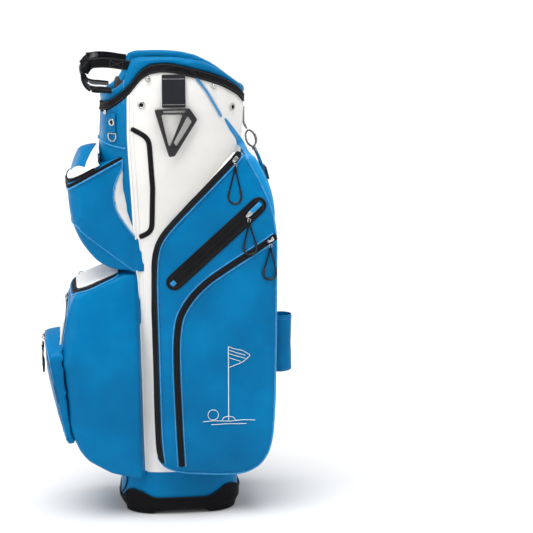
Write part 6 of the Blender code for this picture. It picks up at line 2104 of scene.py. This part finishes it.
# ---------------------------------------------------------------- zip sliders and cord pulls
def slider_piece(m, k=1.0):
    """A cast slider: a waisted top plate with a raised bridge and a loop for the cord, over a thinner lower plate."""
    s = Soup()
    top = [(-0.0030, 0.0066), (-0.0040, 0.0030), (-0.0036, -0.0010), (-0.0030, -0.0052), (-0.0018, -0.0068), (0.0018, -0.0068),
           (0.0030, -0.0052), (0.0036, -0.0010), (0.0040, 0.0030), (0.0030, 0.0066)]
    o = [(x * k, y * k) for x, y in rounded(top, 0.0010 * k, 4)]
    s.put(slab(o, m, 0.0004, 0.0022, 0.0006, 4, 0.0003))
    s.put(slab([(x * 0.86, y * 0.92) for x, y in o], m, -0.0012, 0.0002, 0.0003, 2))
    # bridge: an arched bar over the plate
    bp_ = spline([(0, 0.0052 * k, 0.0018), (0, 0.0048 * k, 0.0036), (0, 0.0024 * k, 0.0046), (0, -0.0022 * k, 0.0046), (0, -0.0046 * k, 0.0036),
                  (0, -0.0050 * k, 0.0018)], n=26)
    tg_ = tangents(bp_)
    nn_ = [Vector((0, -t.z, t.y)).normalized() for t in tg_]
    nn_ = [n if n.z > 0 or abs(n.y) > 0.9 else -n for n in nn_]
    rings = []
    for p, t, n in zip(bp_, tg_, [Vector((1, 0, 0)).cross(t).normalized() for t in tg_]):
        rings.append([m @ (p + Vector((a * 0.0017 * k, 0, 0)) + n * b) for a, b in
                      ((-1, -0.0003), (-0.85, 0.0004), (0, 0.0006), (0.85, 0.0004), (1, -0.0003), (0.85, -0.0007), (0, -0.0007), (-0.85, -0.0007))])
    s.put(loft(rings))
    return s.v, s.f


def eyelet_link(m, y0, k=1.0):
    """The small cast ring between the bridge and the cord."""
    pts = rounded([(-0.0026 * k, y0 + 0.0022), (0.0026 * k, y0 + 0.0022), (0.0022 * k, y0 - 0.0044), (-0.0022 * k, y0 - 0.0044)], 0.0014, 5)
    return tube([m @ Vector((x, y, 0.0)) for x, y in pts], 0.00075, 10, True)


def cord_pull(tag, m, length, width, body, replaces=(), lift=0.0):
    """Cord loop hanging along local -Y from the frame's origin: link, wrapped neck, two strands and a tubed bottom arc."""
    def at(x, y, z=0.0):
        return m @ Vector((x, y, lift + z))

    hw = width / 2
    right = [(0.0011, -0.0060), (0.0013, -0.0110), (0.0030, -0.0180), (hw * 0.60, -length * 0.50), (hw * 0.94, -length * 0.74),
             (hw * 0.97, -length * 0.86), (hw * 0.66, -length * 0.965), (0.0, -length)]
    path = spline([(x, y, 0) for x, y in right] + [(-x, y, 0) for x, y in reversed(right[:-1])], n=110)
    # the strands sag apart a little in depth
    pts = [at(p[0], p[1], 0.0006 * math.sin(9 * p[1] / length) - 0.0010 * max(0.0, -p[1] / length - 0.6)) for p in path]
    add("pull_cord_" + tag, *tube(pts, 0.00150, 10), M_CORD, body, "cord", angle=0, replaces=replaces)
    low = [i for i, p in enumerate(path) if -p[1] > length * 0.66]
    sub = pts[low[0]:low[-1] + 1]
    rr = [0.0023 + 0.0001 * math.sin(i * 0.7) for i in range(len(sub))]
    rr[0] = rr[-1] = 0.0018
    add("pull_tube_" + tag, *tube(sub, rr, 12), M_TUBE, body, "black_plastic", angle=0)
    # wrapped neck
    s = Soup()
    s.put(tube([at(0, -0.0052), at(0, -0.0070), at(0, -0.0110), at(0, -0.0128)], [0.0016, 0.0022, 0.0022, 0.0017], 12))
    for k in range(7):
        y = -0.0068 - 0.0008 * k
        ring = [at(0.0024 * math.cos(a), y + 0.0002 * math.sin(a), 0.0022 * math.sin(a)) for a in [2 * math.pi * j / 16 for j in range(16)]]
        s.put(tube(ring, 0.00042, 6, True))
    # loose knot end below the wrap
    s.put(tube([at(0.0004, -0.0125, 0.0010), at(0.0012, -0.0148, 0.0018), at(0.0008, -0.0165, 0.0022)], [0.0009, 0.0009, 0.0007], 8))
    add("pull_neck_" + tag, s.v, s.f, M_CORD, body, "cord", angle=50)
    add("pull_link_" + tag, *eyelet_link(m @ Matrix.Translation(Vector((0, -0.0016, lift))), 0.0), M_STEEL, body, "silver", angle=0)


def zip_set(tag, origin, out_dir, travel, length=0.066, width=0.0190, lift=0.0022, hang=None, extra=False, grow=1.14, tilt=0.0):
    n = Vector(out_dir).normalized()
    t = Vector(travel).normalized()
    t = (t - n * t.dot(n)).normalized()
    s_ = frame_from(Vector(origin) + n * 0.0008, n.cross(t) * -1, t * -1)
    if (s_.to_3x3() @ Vector((0, 0, 1))).dot(n) < 0:
        s_ = frame_from(Vector(origin) + n * 0.0008, n.cross(t), t * -1)
    add("slider_cast_" + tag, *slider_piece(s_), M_STEEL, "bag" if extra else "slider_" + tag, "silver", angle=45,
        replaces=() if extra else ("slider_" + tag,))
    if hang is not None:
        n = Vector(hang).normalized()
    down = Vector((0, 0, -1))
    if tilt:
        down = (down + n.cross(down) * tilt).normalized()
    down = (down - n * down.dot(n)).normalized()
    pm = frame_from(Vector(origin) + down * 0.0086, n.cross(down), down * -1)
    cord_pull(tag, pm, length * grow, width * 1.30, "bag" if extra else "pull_" + tag, () if extra else ("pull_" + tag,), lift)


def side_normal(z, sx):
    s_ = (side_face(0.615) - side_face(0.725)) / 0.11
    return Vector((sx, 0, s_)).normalized() if z > 0.615 else Vector((sx, 0, 0))


for side, sx in (("left", -1), ("right", 1)):
    for tag, y, z, fy, fz, ln in (("main_", 0.1060, 0.7065, 0.0300, 0.6320, 0.066), ("dry_", 0.1300, 0.6034, 0.0000, 0.4867, 0.060),
                                  ("lower_", 0.1720, 0.5532, 0.1280, 0.5256, 0.060)):
        n = side_normal(z, sx)
        o = Vector((sx * side_face(z), y, z))
        hit = full_skin[sx].near(o, n)
        o = Vector((max(abs(o.x), abs(hit[0].x)) * sx, y, z)) + n * 0.0010
        zip_set(tag + side, o, n, Vector((sx * side_face(fz), fy, fz)) - o, ln, tilt=0.03 * sx * (1 if tag == "dry_" else -1))
ARC_R = (BALL_HALF ** 2 + 0.026 ** 2) / (2 * 0.026)
for side, sx in (("left", -1), ("right", 1)):
    a = math.radians(3.2) * sx
    r = ARC_R - 0.0075
    p = bframe @ Vector((r * math.sin(a), 0.1080 - ARC_R + r * math.cos(a), 0.0012))
    t = bframe.to_3x3() @ Vector((math.cos(a), -math.sin(a), 0)) * sx
    zip_set("ball_" + side, p, bn, t, 0.052, 0.0190, 0.0050, (0, -1, 0))
# further sliders on the lid's zip, the cooler's zip and the front panel's zip
i = min(range(len(MP)), key=lambda k: (MP[k] - Vector((-0.0850, -0.1500, MP[k].z))).length)
zip_set("lid", MP[i] + MN[i] * 0.0014, MN[i], MP[i + 3] - MP[i - 3], 0.060, 0.0190, 0.0030, (-1, 0, 0), True, 1.0)

for tag, P_, N_, aim, lead in (("cooler", CZP, CZN, (-0.0800, -0.1850), 3), ("front_a", FZP, FZN, (-0.0230, -0.2200), 3),
                               ("front_b", FZP, FZN, (0.0050, -0.2200), -3)):
    top = [k for k in range(4, len(P_) - 4) if tag == "cooler" or P_[k].z > 0.40]
    i = min(top, key=lambda k: (P_[k].x - aim[0]) ** 2 + (P_[k].y - aim[1]) ** 2)
    zip_set(tag, P_[i] + N_[i] * 0.0014, N_[i], P_[i + lead] - P_[i - lead], 0.054, 0.0170, 0.0036,
            (0, -1, 0) if tag != "cooler" else (-0.5, -1, 0), True, 1.0)
